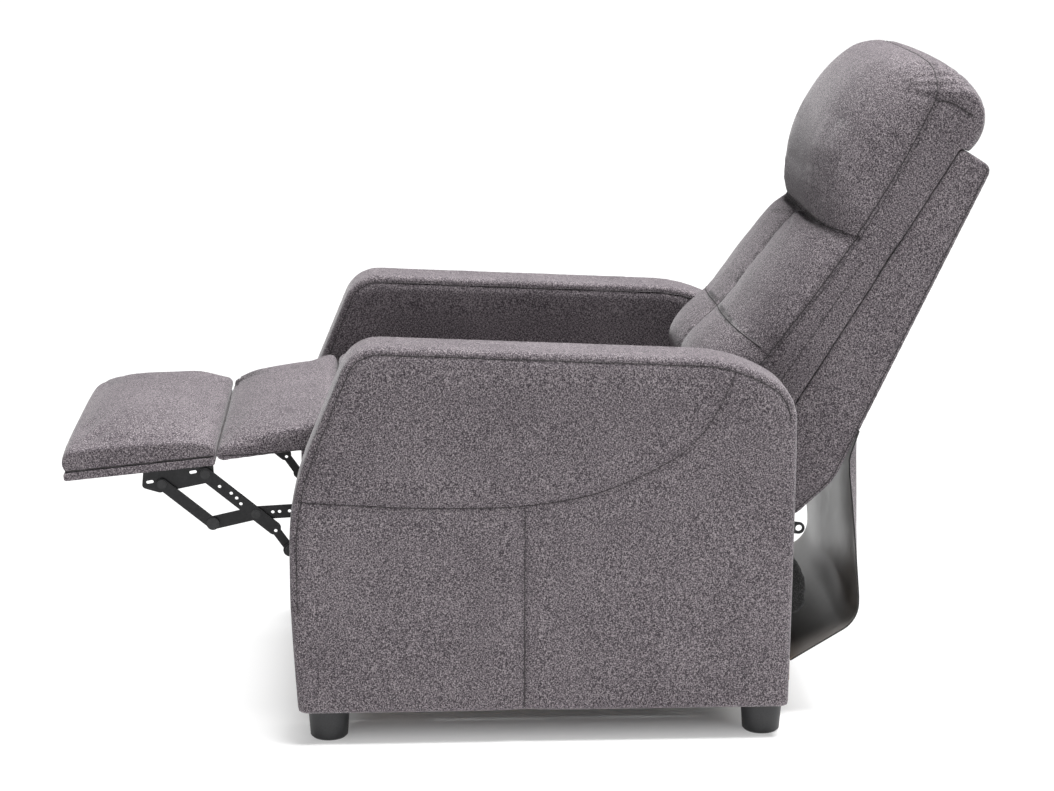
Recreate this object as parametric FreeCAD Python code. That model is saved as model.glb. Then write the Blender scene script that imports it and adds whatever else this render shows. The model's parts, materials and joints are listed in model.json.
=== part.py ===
"""Push-back reclining armchair, shown reclined with its footrest out.

X runs across the chair (plus is the sitter's left), Y from front to rear, Z up from the floor.
Outlines are drawn in the side plane as (y, z) and given their width along X. Y is measured from
the front foot of the arms while the pieces are drawn, and moved at the end so that the origin
lies on the floor under the middle of the whole chair.
"""
import FreeCAD, Part
import math
import os

from FreeCAD import Vector

# Overall sizes
CHAIR_WIDTH = 680.0
ARM_THICKNESS = 95.0
ARM_HEIGHT = 601.0
ARM_FRONT = -11.5
ARM_REAR = 727.0
FOOT_HEIGHT = 52.0
RECLINE_LEAN = 25.4

# Arm upholstery and frame
ARM_PAD = 13.0
ARM_SIDE_PAD = 6.0
ARM_EDGE_ROUND = 11.0
FRAME_RAIL = 55.0
MECHANISM_RAIL = (160.0, 270.0)
ARM_POST = (318.0, 358.0)

# Feet
FOOT_RADIUS = 31.0
FOOT_BASE_RADIUS = 25.0
FOOT_FROM_FRONT = 53.0
FOOT_FROM_REAR = 36.0
FOOT_CHAMFER = 3.0
FOOT_COLLAR = 8.0

# Clearances
SOFT_GAP = 0.4
FIT_GAP = 0.06
HEAD_GAP = 0.1

# Steel parts
PLATE = 3.0
PLATE_SPACE = 1.5
LINK_HALF_WIDTH = 10.0
OUTER_LINK_HALF_WIDTH = 8.5
LINK_TAIL_HALF_WIDTH = 6.5
SWING_HALF_WIDTH = 14.0
PIN_RADIUS = 6.0
PIN_HEAD_STEP = 2.5
RIVET_RADIUS = 4.0
RIVET_HEAD_RADIUS = 7.0
BIG_RIVET_HEAD_RADIUS = 9.5
HEAD_THICKNESS = 0.9
LINK_HOLE_RADIUS = 2.6
TUBE_RADIUS = 12.0
TUBE_WALL = 2.0
SCREW_HEAD_RADIUS = 6.0
SCREW_HEAD = 3.0

# Wooden parts
RAIL_THICKNESS = 26.0
SEAT_RAIL_HEIGHT = 60.0
FRONT_RAIL = (186.0, 208.0, 60.0, 125.0)
REAR_BOTTOM_RAIL = (706.0, 741.0, 58.0, 112.0)
FOOTREST_BOARD = 12.0
FOOTREST_LENGTH = 224.0
FOOTREST_TILT = 5.8

# Seat deck: height at the front rail and its fall towards the rear
DECK_FRONT = (60.0, 425.0)
DECK_REAR_Y = 622.0
DECK_FALL = 0.115
SEAT_CUSHION_REAR = 634.0

# Side pads and back
PAD_SIDE_GAP = 8.0
BACK_SIDE_PAD = 10.0
SPRING_WIRE_RADIUS = 2.0
SPRING_COUNT = 4
SPRING_SPACING = 92.0
SPRING_BENDS = 7
SPRING_HALF_SWING = 24.0
CLIP_WIDTH = 14.0
CLIP_REACH = 8.0
CLIP_THICKNESS = 1.2
WEB_COUNT = 5
WEB_WIDTH = 50.0
WEB_THICKNESS = 2.0
FLAP_THICKNESS = 3.0

# Pivots in the side plane (y, z), at rest
BACK_PIVOT = (660.0, 415.0)
SWING_LENGTH = 110.0
SWING_LEAN = 10.0
FRONT_SWING_FOOT = (170.0, 225.0)
REAR_SWING_FOOT = (480.0, 185.0)
FOOTREST_REAR_PIVOT = (-139.0, 387.0)
BRACKET_STEP = (-64.0, -14.5)
LINK_STEP = (74.0, -61.5)
CROSS_LINK_PIVOT = (83.5, 333.3)
CONTROL_PIVOT = (141.6, 244.2)
LONG_LINK_BEND = (-38.0, 303.0)
LONG_LINK_END = (-15.1, 270.2)
CONTROL_SLOT = 28.6
CONTROL_SLOT_GAP = 0.35
CALF_PIVOT = (30.0, 446.0)
CALF_END_RADIUS = 21.0
SEAT_TUBE = (540.0, 290.0)

# Calf pad hinge: a rod held by two arms on the seat's front rail
CALF_ROD_RADIUS = 4.0
CALF_ARM_X = 150.0
CALF_ARM_HALF_WIDTH = 8.0
CALF_ARM_FOOT = (26.0, 34.0)
CALF_SLOT_RADIUS = 52.0


def moved(point, length, degrees):
    """Point at a distance from another, the angle counted from the rear horizontal."""
    angle = math.radians(degrees)
    return (point[0] + length * math.cos(angle), point[1] + length * math.sin(angle))


def added(point, step):
    return (point[0] + step[0], point[1] + step[1])


FRONT_SWING_TOP = moved(FRONT_SWING_FOOT, SWING_LENGTH, 90.0 + SWING_LEAN)
REAR_SWING_TOP = moved(REAR_SWING_FOOT, SWING_LENGTH, 90.0 + SWING_LEAN)
BACK_PIN = moved(BACK_PIVOT, SWING_LENGTH, 270.0 - SWING_LEAN)
BACK_PIN_DROP = 2.0 * SWING_LENGTH * (1.0 - math.cos(math.radians(SWING_LEAN)))
FOOTREST_FRONT_PIVOT = added(FOOTREST_REAR_PIVOT, BRACKET_STEP)
SCISSOR_PIVOT = added(FOOTREST_REAR_PIVOT, LINK_STEP)
OUTER_LINK_PIVOT = added(FOOTREST_FRONT_PIVOT, LINK_STEP)

# Layers across the chair, from the arm inwards, as (low, high) on the plus side
ARM_INNER = CHAIR_WIDTH / 2.0 - ARM_THICKNESS
BASE_LAYER = (ARM_INNER - PLATE, ARM_INNER)
SWING_LAYER = (BASE_LAYER[0] - PLATE_SPACE - PLATE, BASE_LAYER[0] - PLATE_SPACE)
SEAT_LAYER = (SWING_LAYER[0] - PLATE_SPACE - PLATE, SWING_LAYER[0] - PLATE_SPACE)
CONTROL_LAYER = (SEAT_LAYER[0] - PLATE_SPACE - PLATE, SEAT_LAYER[0] - PLATE_SPACE)
LONG_LAYER = (CONTROL_LAYER[0] - PLATE_SPACE - PLATE, CONTROL_LAYER[0] - PLATE_SPACE)
CROSS_LAYER = (LONG_LAYER[0] - PLATE_SPACE - PLATE, LONG_LAYER[0] - PLATE_SPACE)
PAD_HALF_WIDTH = ARM_INNER - PAD_SIDE_GAP
BACK_HALF_WIDTH = SWING_LAYER[0]

NODES = {}


def add_node(name, solids):
    """Keep a named piece: one solid, or a group of equal solids."""
    NODES[name] = solids[0] if len(solids) == 1 else Part.makeCompound(solids)


def mirrored(shape):
    return shape.mirror(Vector(0, 0, 0), Vector(1, 0, 0))


def add_pair(name, solid):
    """A piece on the sitter's left and its mirror image on the right."""
    add_node(name + "_left", [solid])
    add_node(name + "_right", [mirrored(solid)])


def add_group(name, solids):
    """Pieces of the left side and their mirror images in one node."""
    add_node(name, solids + [mirrored(solid) for solid in solids])


def side_point(x, point):
    return Vector(x, point[0], point[1])


def rounded_wire(x, corners):
    """Closed outline in the side plane at x, each corner (y, z, radius) rounded by an arc."""
    count = len(corners)
    starts, middles, ends = [], [], []
    for i in range(count):
        corner = side_point(x, corners[i])
        before = side_point(x, corners[i - 1]) - corner
        after = side_point(x, corners[(i + 1) % count]) - corner
        before.normalize()
        after.normalize()
        half_angle = before.getAngle(after) / 2.0
        reach = corners[i][2] / math.tan(half_angle)
        bisector = before + after
        bisector.normalize()
        depth = corners[i][2] / math.sin(half_angle) - corners[i][2]
        starts.append(corner + before * reach)
        middles.append(corner + bisector * depth)
        ends.append(corner + after * reach)
    edges = []
    for i in range(count):
        if corners[i][2] > 0:
            edges.append(Part.Arc(starts[i], middles[i], ends[i]).toShape())
        edges.append(Part.LineSegment(ends[i], starts[(i + 1) % count]).toShape())
    return Part.Wire(edges)


def plate(corners, x_low, x_high):
    """Flat piece with a rounded outline, from x_low to x_high."""
    face = Part.Face(rounded_wire(x_low, corners))
    return face.extrude(Vector(x_high - x_low, 0, 0))


def disc(point, radius, x_low, x_high):
    return Part.makeCylinder(radius, x_high - x_low, side_point(x_low, point), Vector(1, 0, 0))


def bar(points, half_width, layer):
    """Flat bar with round ends along a broken line."""
    low, high = layer
    solid = disc(points[0], half_width, low, high)
    for start, end in zip(points, points[1:]):
        length = math.dist(start, end)
        across = ((start[1] - end[1]) / length * half_width, (end[0] - start[0]) / length * half_width)
        back = (-across[0], -across[1])
        corners = [added(start, across), added(start, back), added(end, back), added(end, across)]
        solid = solid.fuse(plate([corner + (0.0,) for corner in corners], low, high))
        solid = solid.fuse(disc(end, half_width, low, high))
    return solid.removeSplitter()


def slot_between(start, end, half_width, layer):
    """Cutter for a slot through a layer."""
    return bar([start, end], half_width, (layer[0] - 1.0, layer[1] + 1.0))


def drilled(solid, points, radius, layer):
    for point in points:
        solid = solid.cut(disc(point, radius, layer[0] - 1.0, layer[1] + 1.0))
    return solid


def inset(corners, distances):
    """Outline with each edge moved inwards; edge i runs from corner i to the next."""
    count = len(corners)
    lines = []
    for i in range(count):
        start, end = corners[i], corners[(i + 1) % count]
        length = math.dist(start[:2], end[:2])
        along = ((end[0] - start[0]) / length, (end[1] - start[1]) / length)
        normal = (along[1], -along[0])
        lines.append((added(start, (normal[0] * distances[i], normal[1] * distances[i])), along))
    moved_corners = []
    for i in range(count):
        (p, d), (q, e) = lines[i - 1], lines[i]
        cross = d[0] * e[1] - d[1] * e[0]
        share = ((q[0] - p[0]) * e[1] - (q[1] - p[1]) * e[0]) / cross
        radius = max(corners[i][2] - min(distances[i - 1], distances[i]), 0.0)
        moved_corners.append((p[0] + d[0] * share, p[1] + d[1] * share, radius))
    return moved_corners


def turned(point, steps):
    """Turned pin along X: each step is (end, radius), and the first end is where the pin starts."""
    x = steps[0][0]
    profile = [(x, 0.0)]
    for end, radius in steps[1:]:
        profile += [(x, radius), (end, radius)]
        x = end
    profile.append((x, 0.0))
    places = [Vector(px, point[0] + radius, point[1]) for px, radius in profile]
    face = Part.Face(Part.makePolygon(places + places[:1]))
    return face.revolve(side_point(0.0, point), Vector(1, 0, 0), 360)


def rivet(point, inner, outer, head_radius=RIVET_HEAD_RADIUS):
    """Headed pivot through two neighbouring layers, with a collar in the space between them."""
    return turned(point, [
        (inner[0], 0.0),
        (inner[1], RIVET_RADIUS),
        (outer[0] - HEAD_GAP, RIVET_HEAD_RADIUS),
        (outer[1] + HEAD_GAP, RIVET_RADIUS),
        (outer[1] + HEAD_GAP + HEAD_THICKNESS, head_radius),
    ])


# Arms

def arm_corners(bottom):
    """Side outline of an arm, clockwise from the rear bottom corner."""
    front_bend = ARM_HEIGHT - 223.0
    return [
        (ARM_REAR - 3.0, bottom, 0.0),
        (ARM_FRONT + 10.5, bottom, 0.0),
        (ARM_FRONT, bottom + 163.0, 300.0),
        (ARM_FRONT, front_bend, 400.0),
        (ARM_FRONT + 93.0, ARM_HEIGHT, 58.0),
        (ARM_REAR - 87.0, ARM_HEIGHT - 24.0, 230.0),
        (ARM_REAR, ARM_HEIGHT - 76.5, 70.0),
    ]


def arm_frame_corners():
    pads = [0.0] + [ARM_PAD] * 6
    return inset(arm_corners(FOOT_HEIGHT), pads)


ARM_FRAME_X = (ARM_INNER + ARM_SIDE_PAD, ARM_INNER + ARM_THICKNESS - ARM_SIDE_PAD)
FOOT_Y = (ARM_FRONT + FOOT_FROM_FRONT, ARM_REAR - FOOT_FROM_REAR)
FOOT_X = ARM_INNER + ARM_THICKNESS / 2.0


def make_arm_frame():
    """Wooden side frame: outer ring, a rail that carries the mechanism, and a middle post."""
    low, high = ARM_FRAME_X
    corners = arm_frame_corners()
    solid = plate(corners, low, high)
    window = inset(corners, [FRAME_RAIL] * len(corners))
    opening = plate(window, low - 1.0, high + 1.0)
    post_height = ARM_HEIGHT
    for z_low, z_high in [(0.0, MECHANISM_RAIL[0]), (MECHANISM_RAIL[1], post_height)]:
        for y_low, y_high in [(ARM_FRONT, ARM_POST[0]), (ARM_POST[1], ARM_REAR)]:
            size = (high - low + 2.0, y_high - y_low, z_high - z_low)
            bay = Part.makeBox(*size, Vector(low - 1.0, y_low, z_low))
            solid = solid.cut(opening.common(bay))
    return solid


def make_arm_cover():
    """Padded cloth shell over the frame, open underneath, with its long edges rounded."""
    low, high = ARM_INNER, ARM_INNER + ARM_THICKNESS
    solid = plate(arm_corners(FOOT_HEIGHT), low, high)
    rims = [
        edge for edge in solid.Edges
        if edge.BoundBox.XLength < 0.01 and edge.CenterOfMass.z > FOOT_HEIGHT + 1.0
    ]
    solid = solid.makeFillet(ARM_EDGE_ROUND, rims)
    hollow = arm_frame_corners()
    below = [(y, z - 20.0 if z < FOOT_HEIGHT + 1.0 else z, r) for y, z, r in hollow]
    return solid.cut(plate(below, *ARM_FRAME_X))


def make_foot(y):
    """Turned plastic foot, wider at the top, with a straight collar under the arm."""
    outline = [
        Vector(0, 0, 0),
        Vector(FOOT_BASE_RADIUS, 0, 0),
        Vector(FOOT_BASE_RADIUS + FOOT_CHAMFER, 0, FOOT_CHAMFER),
        Vector(FOOT_RADIUS, 0, FOOT_HEIGHT - FOOT_COLLAR),
        Vector(FOOT_RADIUS, 0, FOOT_HEIGHT),
        Vector(0, 0, FOOT_HEIGHT),
    ]
    face = Part.Face(Part.makePolygon(outline + outline[:1]))
    foot = face.revolve(Vector(0, 0, 0), Vector(0, 0, 1), 360)
    foot.translate(Vector(FOOT_X, y, 0))
    return foot


def box_corners(y_low, y_high, z_low, z_high, radius=2.0):
    return [(y_low, z_low, radius), (y_low, z_high, radius), (y_high, z_high, radius), (y_high, z_low, radius)]


def build_base():
    add_pair("arm_frame", make_arm_frame())
    add_pair("arm_cover", make_arm_cover())
    for place, y in zip(("front", "rear"), FOOT_Y):
        add_group(place + "_feet", [make_foot(y)])
    add_node("front_rail", [plate(box_corners(*FRONT_RAIL), -ARM_INNER, ARM_INNER)])
    add_node("rear_bottom_rail", [plate(box_corners(*REAR_BOTTOM_RAIL), -ARM_INNER, ARM_INNER)])
    wrapped = [
        (692.0, 164.0, 4.0), (692.0, 251.0, 4.0), (746.0, 251.0, 8.0),
        (764.0, 214.0, 10.0), (759.0, 173.0, 8.0), (747.0, 164.0, 6.0),
    ]
    add_node("rear_cross_rail", [plate(wrapped, -ARM_INNER, ARM_INNER)])
    add_pair("base_plate", make_base_plate())
    pivots = [FRONT_SWING_FOOT, REAR_SWING_FOOT, BACK_PIVOT]
    add_group("base_pivot_pins", [make_base_pin(point) for point in pivots])
    add_node("rear_flap", [make_rear_flap()])


def make_base_plate():
    """Stamped plate on the arm's inner face: a beam, a riser to the back pivot, an eye at the rear."""
    knee = (632.0, 312.0)
    eye = (749.0, 299.0)
    beam = bar([(105.0, 212.0), FRONT_SWING_FOOT, REAR_SWING_FOOT], 26.0, BASE_LAYER)
    riser = bar([REAR_SWING_FOOT, knee, BACK_PIVOT], 24.0, BASE_LAYER)
    tail = bar([knee, eye], 9.0, BASE_LAYER)
    solid = beam.fuse(riser).fuse(tail).removeSplitter()
    solid = drilled(solid, [eye], 5.0, BASE_LAYER)
    solid = drilled(solid, [(240.0, 216.0), (345.0, 203.0)], 9.0, BASE_LAYER)
    return drilled(solid, [FRONT_SWING_FOOT, REAR_SWING_FOOT, BACK_PIVOT], PIN_RADIUS + FIT_GAP, BASE_LAYER)


def make_base_pin(point):
    """Pin from the base plate inwards through the swing layer, with a flat head."""
    end = SWING_LAYER[0] - HEAD_GAP
    return turned(point, [
        (end - HEAD_THICKNESS, 0.0), (end, PIN_RADIUS + PIN_HEAD_STEP), (BASE_LAYER[1], PIN_RADIUS),
    ])


def make_rear_flap():
    """Hanging cloth sheet from the lower edge of the back to the rear bottom rail."""
    t = FLAP_THICKNESS
    top = (839.0, 448.0)
    belly = (848.0, 150.0)
    foot = (REAR_BOTTOM_RAIL[1] + SOFT_GAP, 86.0)
    outline = [
        top + (0.5,), (belly[0], belly[1], 48.0), foot + (0.5,),
        (foot[0], foot[1] + t, 0.5), (belly[0] - t, belly[1] + 0.6 * t, 45.0), (top[0] - t, top[1], 0.5),
    ]
    return plate(outline, -PAD_HALF_WIDTH, PAD_HALF_WIDTH)


# Swing links and seat

def deck(y):
    """Height of the seat deck at y."""
    return DECK_FRONT[1] - DECK_FALL * (y - DECK_FRONT[0])


def make_swing(foot, top):
    link = bar([foot, top], SWING_HALF_WIDTH, SWING_LAYER)
    return drilled(link, [foot, top], PIN_RADIUS + FIT_GAP, SWING_LAYER)


def make_seat_plate():
    """Stamped side plate of the seat: front lugs for the footrest links, slotted rear lug for the back."""
    front_y = DECK_FRONT[0] - 8.0
    lug = BACK_PIN
    corners = [
        (front_y, CROSS_LINK_PIVOT[1] - 14.0, 12.0),
        (front_y, deck(front_y) - 14.0, 8.0),
        (lug[0] - 45.0, deck(lug[0] - 45.0) - 30.0, 30.0),
        (lug[0] + 22.0, lug[1] + 24.0, 18.0),
        (lug[0] + 22.0, lug[1] - 28.0, 18.0),
        (SEAT_TUBE[0] - 10.0, SEAT_TUBE[1] - 24.0, 30.0),
        (REAR_SWING_TOP[0] - 30.0, REAR_SWING_TOP[1] - 26.0, 24.0),
        (CONTROL_PIVOT[0] + 90.0, CONTROL_PIVOT[1] + 68.0, 40.0),
        (CONTROL_PIVOT[0] + 22.0, CONTROL_PIVOT[1] - 20.0, 18.0),
        (CONTROL_PIVOT[0] - 22.0, CONTROL_PIVOT[1] - 18.0, 18.0),
        (CROSS_LINK_PIVOT[0] + 26.0, CROSS_LINK_PIVOT[1] - 18.0, 16.0),
    ]
    solid = plate(corners, *SEAT_LAYER)
    slot_low = added(BACK_PIN, (0.0, -BACK_PIN_DROP - 0.4))
    slot_high = added(BACK_PIN, (0.0, 0.4))
    solid = solid.cut(slot_between(slot_low, slot_high, PIN_RADIUS + FIT_GAP, SEAT_LAYER))
    pivots = [FRONT_SWING_TOP, REAR_SWING_TOP, CONTROL_PIVOT, CROSS_LINK_PIVOT]
    solid = drilled(solid, pivots, PIN_RADIUS + FIT_GAP, SEAT_LAYER)
    return drilled(solid, [(240.0, 346.0), (320.0, 336.0), (385.0, 328.0)], 12.0, SEAT_LAYER)


def make_swing_pin(point):
    """Pin from the seat plate outwards through a swing link."""
    end = SWING_LAYER[1] + HEAD_GAP
    return turned(point, [
        (SEAT_LAYER[0], 0.0), (end, PIN_RADIUS), (end + HEAD_THICKNESS, PIN_RADIUS + PIN_HEAD_STEP),
    ])


def make_link_pin(point, layer):
    """Pin from the seat plate inwards through a link, with a spacer collar on it."""
    end = layer[0] - HEAD_GAP
    return turned(point, [
        (end - HEAD_THICKNESS, 0.0),
        (end, PIN_RADIUS + PIN_HEAD_STEP),
        (layer[1] + HEAD_GAP, PIN_RADIUS),
        (SEAT_LAYER[0], PIN_RADIUS + PIN_HEAD_STEP),
        (SEAT_LAYER[1], PIN_RADIUS),
    ])


def tube_across(point, half_length):
    outer = disc(point, TUBE_RADIUS, -half_length, half_length)
    return outer.cut(disc(point, TUBE_RADIUS - TUBE_WALL, -half_length - 1.0, half_length + 1.0))


def rail_corners(y_low, y_high):
    return [
        (y_low, deck(y_low) - SEAT_RAIL_HEIGHT, 3.0), (y_low, deck(y_low), 3.0),
        (y_high, deck(y_high), 3.0), (y_high, deck(y_high) - SEAT_RAIL_HEIGHT, 3.0),
    ]


def make_zigzag_spring(x):
    """Zigzag wire on the deck, from the front rail to the rear rail."""
    first, last = spring_ends()
    pitch = (last - first) / (SPRING_BENDS + 1)
    lift = SPRING_WIRE_RADIUS + SOFT_GAP
    points = [(x, first)]
    for bend in range(SPRING_BENDS):
        side = 1.0 if bend % 2 else -1.0
        points.append((x + side * SPRING_HALF_SWING, first + (bend + 1) * pitch))
    points.append((x, last))
    places = [Vector(px, py, deck(py) + lift) for px, py in points]
    edges = []
    start = places[0]
    for i in range(1, len(places) - 1):
        before = places[i - 1] - places[i]
        after = places[i + 1] - places[i]
        reach = 0.45 * min(before.Length, after.Length)
        before.normalize()
        after.normalize()
        enter = places[i] + before * reach
        leave = places[i] + after * reach
        half = before.getAngle(after) / 2.0
        bisector = before + after
        bisector.normalize()
        radius = reach * math.tan(half)
        middle = places[i] + bisector * (radius / math.sin(half) - radius)
        edges.append(Part.LineSegment(start, enter).toShape())
        edges.append(Part.Arc(enter, middle, leave).toShape())
        start = leave
    edges.append(Part.LineSegment(start, places[-1]).toShape())
    heading = places[1] - places[0]
    heading.normalize()
    level = heading.cross(Vector(0, 0, 1))
    level.normalize()
    upright = level.cross(heading)
    ring = []
    for i in range(7):
        turn = math.radians(60.0 * i)
        offset = level * math.cos(turn) + upright * math.sin(turn)
        ring.append(places[0] + offset * SPRING_WIRE_RADIUS)
    return Part.Wire(edges).makePipeShell([Part.makePolygon(ring)], True, False)


def clip_top():
    """Height of the spring clips above the deck."""
    return 2.0 * SPRING_WIRE_RADIUS + 2.0 * SOFT_GAP + CLIP_THICKNESS


def make_spring_clip(x, y, outwards):
    """Bent strip on a rail over a spring's end; outwards is -1 at the front rail and 1 at the rear."""
    near, far = y - outwards * CLIP_REACH, y + outwards * CLIP_REACH
    step = far - outwards * 2.0 * CLIP_THICKNESS
    under = clip_top() - CLIP_THICKNESS
    profile = [(far, 0.0), (far, clip_top()), (near, clip_top()), (near, under), (step, under), (step, 0.0)]
    corners = [(py, deck(py) + lift, 0.0) for py, lift in profile]
    return plate(corners, x - CLIP_WIDTH / 2.0, x + CLIP_WIDTH / 2.0)


def spring_ends():
    """Y of the springs' ends on the front and the rear rail."""
    return DECK_FRONT[0] + RAIL_THICKNESS / 2.0, DECK_REAR_Y - RAIL_THICKNESS / 2.0


def spring_columns():
    middle = (SPRING_COUNT - 1) / 2.0
    return [(i - middle) * SPRING_SPACING for i in range(SPRING_COUNT)]


def build_seat():
    add_pair("front_swing_link", make_swing(FRONT_SWING_FOOT, FRONT_SWING_TOP))
    add_pair("rear_swing_link", make_swing(REAR_SWING_FOOT, REAR_SWING_TOP))
    add_pair("seat_plate", make_seat_plate())
    pins = [make_swing_pin(FRONT_SWING_TOP), make_swing_pin(REAR_SWING_TOP)]
    pins.append(make_link_pin(CONTROL_PIVOT, CONTROL_LAYER))
    pins.append(make_link_pin(CROSS_LINK_PIVOT, CROSS_LAYER))
    add_group("seat_pivot_pins", pins)
    add_node("seat_cross_tube", [tube_across(SEAT_TUBE, SEAT_LAYER[0])])
    rail_x = (SEAT_LAYER[0] - RAIL_THICKNESS, SEAT_LAYER[0])
    add_pair("seat_side_rail", plate(rail_corners(DECK_FRONT[0], DECK_REAR_Y), *rail_x))
    front = rail_corners(DECK_FRONT[0], DECK_FRONT[0] + RAIL_THICKNESS)
    rear = rail_corners(DECK_REAR_Y - RAIL_THICKNESS, DECK_REAR_Y)
    add_node("seat_front_rail", [plate(front, -rail_x[0], rail_x[0])])
    add_node("seat_rear_rail", [plate(rear, -rail_x[0], rail_x[0])])
    add_node("seat_springs", [make_zigzag_spring(x) for x in spring_columns()])
    clips = []
    for y, outwards in zip(spring_ends(), (-1.0, 1.0)):
        clips += [make_spring_clip(x, y, outwards) for x in spring_columns()]
    add_node("spring_clips", clips)
    add_node("calf_hinge", [make_calf_hinge()])
    add_node("seat_cushion", [make_seat_cushion()])


# Soft pieces: side outlines of lines and arcs, lofted across the chair

def curve_wire(x, start, steps):
    """Closed outline from a start point; a step is an end point, or a point on an arc and its end."""
    edges = []
    here = start
    for step in steps:
        if len(step) == 1:
            edges.append(Part.LineSegment(side_point(x, here), side_point(x, step[0])).toShape())
        else:
            arc = Part.Arc(side_point(x, here), side_point(x, step[0]), side_point(x, step[1]))
            edges.append(arc.toShape())
        here = step[-1]
    return Part.Wire(edges)


CROWN_PARTS = [1.0, 0.985, 0.95, 0.88, 0.75, 0.5, 0.25, 0.08, 0.0]


def crown(part, side):
    """Fullness at a part of the half width: flat in the middle, falling to side at the edge."""
    return side + (1.0 - side) * math.sqrt(1.0 - part ** 4)


def soft_loft(outline, half_width, fullness):
    """Loft of an outline(x, fullness) through stations across the chair, the same on both sides."""
    left = [(-half_width * part, fullness(part)) for part in CROWN_PARTS]
    right = [(-x, full) for x, full in reversed(left) if x < 0]
    return Part.makeLoft([outline(x, full) for x, full in left + right], True, True)


def make_seat_cushion():
    """Crowned seat cushion on the springs, rounded in front where the calf pad folds down."""
    base = clip_top() + SOFT_GAP
    rear = SEAT_CUSHION_REAR
    front = CALF_PIVOT[0] + CALF_END_RADIUS + 4.0

    def outline(x, fullness):
        def over(y, height):
            return (y, deck(y) + base + (height - base) * fullness)

        start = over(rear, base)
        return curve_wire(x, start, [
            (over(front + 10.0, base),),
            (over(front, base + 14.0), over(front + 10.0, 48.0)),
            (over(front + 85.0, 73.0), over(front + 240.0, 84.0)),
            (over(front + 390.0, 78.0), over(rear - 12.0, 48.0)),
            (over(rear + 4.0, 28.0), start),
        ])

    return soft_loft(outline, PAD_HALF_WIDTH, lambda part: crown(part, 0.62))


def make_calf_pad():
    """Calf pad: rounded about its hinge line at the seat, thinner towards the footrest."""
    y, z = CALF_PIVOT
    r = CALF_END_RADIUS
    tip = FOOTREST_REAR_PIVOT[0] + 21.0

    def outline(x, fullness):
        rise = r * fullness
        corner = math.sqrt(0.5)
        low_front = (tip + 6.0, 416.0)
        top_front = (tip + 15.0, 416.0 + 26.0 * fullness)
        start = (y, z - r)
        return curve_wire(x, start, [
            ((y + r * corner, z - r * corner), (y + r, z)),
            ((y + r * corner, z + rise * corner), (y, z + rise)),
            ((y - 68.0, z + rise - 8.0), top_front),
            ((tip, 416.0 + 13.0 * fullness), low_front),
            (start,),
        ])

    pad = soft_loft(outline, PAD_HALF_WIDTH, lambda part: crown(part, 0.7))
    pad = pad.cut(disc(CALF_PIVOT, CALF_ROD_RADIUS + SOFT_GAP, -ARM_INNER, ARM_INNER))
    half = PLATE / 2.0 + SOFT_GAP
    for x in (-CALF_ARM_X, CALF_ARM_X):
        pad = pad.cut(disc(CALF_PIVOT, CALF_SLOT_RADIUS, x - half, x + half))
    return pad


def make_calf_hinge():
    """Rod along the hinge line of the calf pad, on two arms with feet on the seat's front rail."""
    face = DECK_FRONT[0]
    hinge = disc(CALF_PIVOT, CALF_ROD_RADIUS, -PAD_HALF_WIDTH + 12.0, PAD_HALF_WIDTH - 12.0)
    width, height = CALF_ARM_FOOT
    top = deck(face) - 4.0
    low_end = (face - CALF_ARM_HALF_WIDTH, top - height / 2.0)
    for x in (-CALF_ARM_X, CALF_ARM_X):
        layer = (x - PLATE / 2.0, x + PLATE / 2.0)
        arm = bar([CALF_PIVOT, low_end], CALF_ARM_HALF_WIDTH, layer)
        foot = plate(box_corners(face - PLATE, face, top - height, top, 0.0), x - width / 2.0, x + width / 2.0)
        hinge = hinge.fuse(arm).fuse(foot)
    return hinge.removeSplitter()


# Footrest

FOOTREST_EDGE = (-123.0, 403.0)
FOOTREST_HALF_WIDTH = PAD_HALF_WIDTH - 3.0


def on_footrest(forward, up):
    """Side point from the footrest's rear lower edge, along and square to its board."""
    angle = math.radians(FOOTREST_TILT)
    y = FOOTREST_EDGE[0] - forward * math.cos(angle) - up * math.sin(angle)
    return (y, FOOTREST_EDGE[1] - forward * math.sin(angle) + up * math.cos(angle))


def make_footrest_board():
    corners = [(0.0, 0.0), (0.0, FOOTREST_BOARD), (FOOTREST_LENGTH, FOOTREST_BOARD), (FOOTREST_LENGTH, 0.0)]
    return plate([on_footrest(*corner) + (4.0,) for corner in reversed(corners)],
                 -FOOTREST_HALF_WIDTH, FOOTREST_HALF_WIDTH)


def make_footrest_pad():
    """Crowned pad on the footrest board, fuller towards its front edge."""
    low = FOOTREST_BOARD + SOFT_GAP
    end = FOOTREST_LENGTH

    def outline(x, fullness):
        def over(forward, height):
            return on_footrest(forward, low + (height - low) * fullness)

        start = over(3.0, low)
        return curve_wire(x, start, [
            (over(-1.0, 24.0), over(10.0, 40.0)),
            (over(100.0, 57.0), over(end - 32.0, 53.0)),
            (over(end - 2.0, 42.0), over(end - 3.0, low)),
            (start,),
        ])

    return soft_loft(outline, FOOTREST_HALF_WIDTH, lambda part: crown(part, 0.66))


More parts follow.
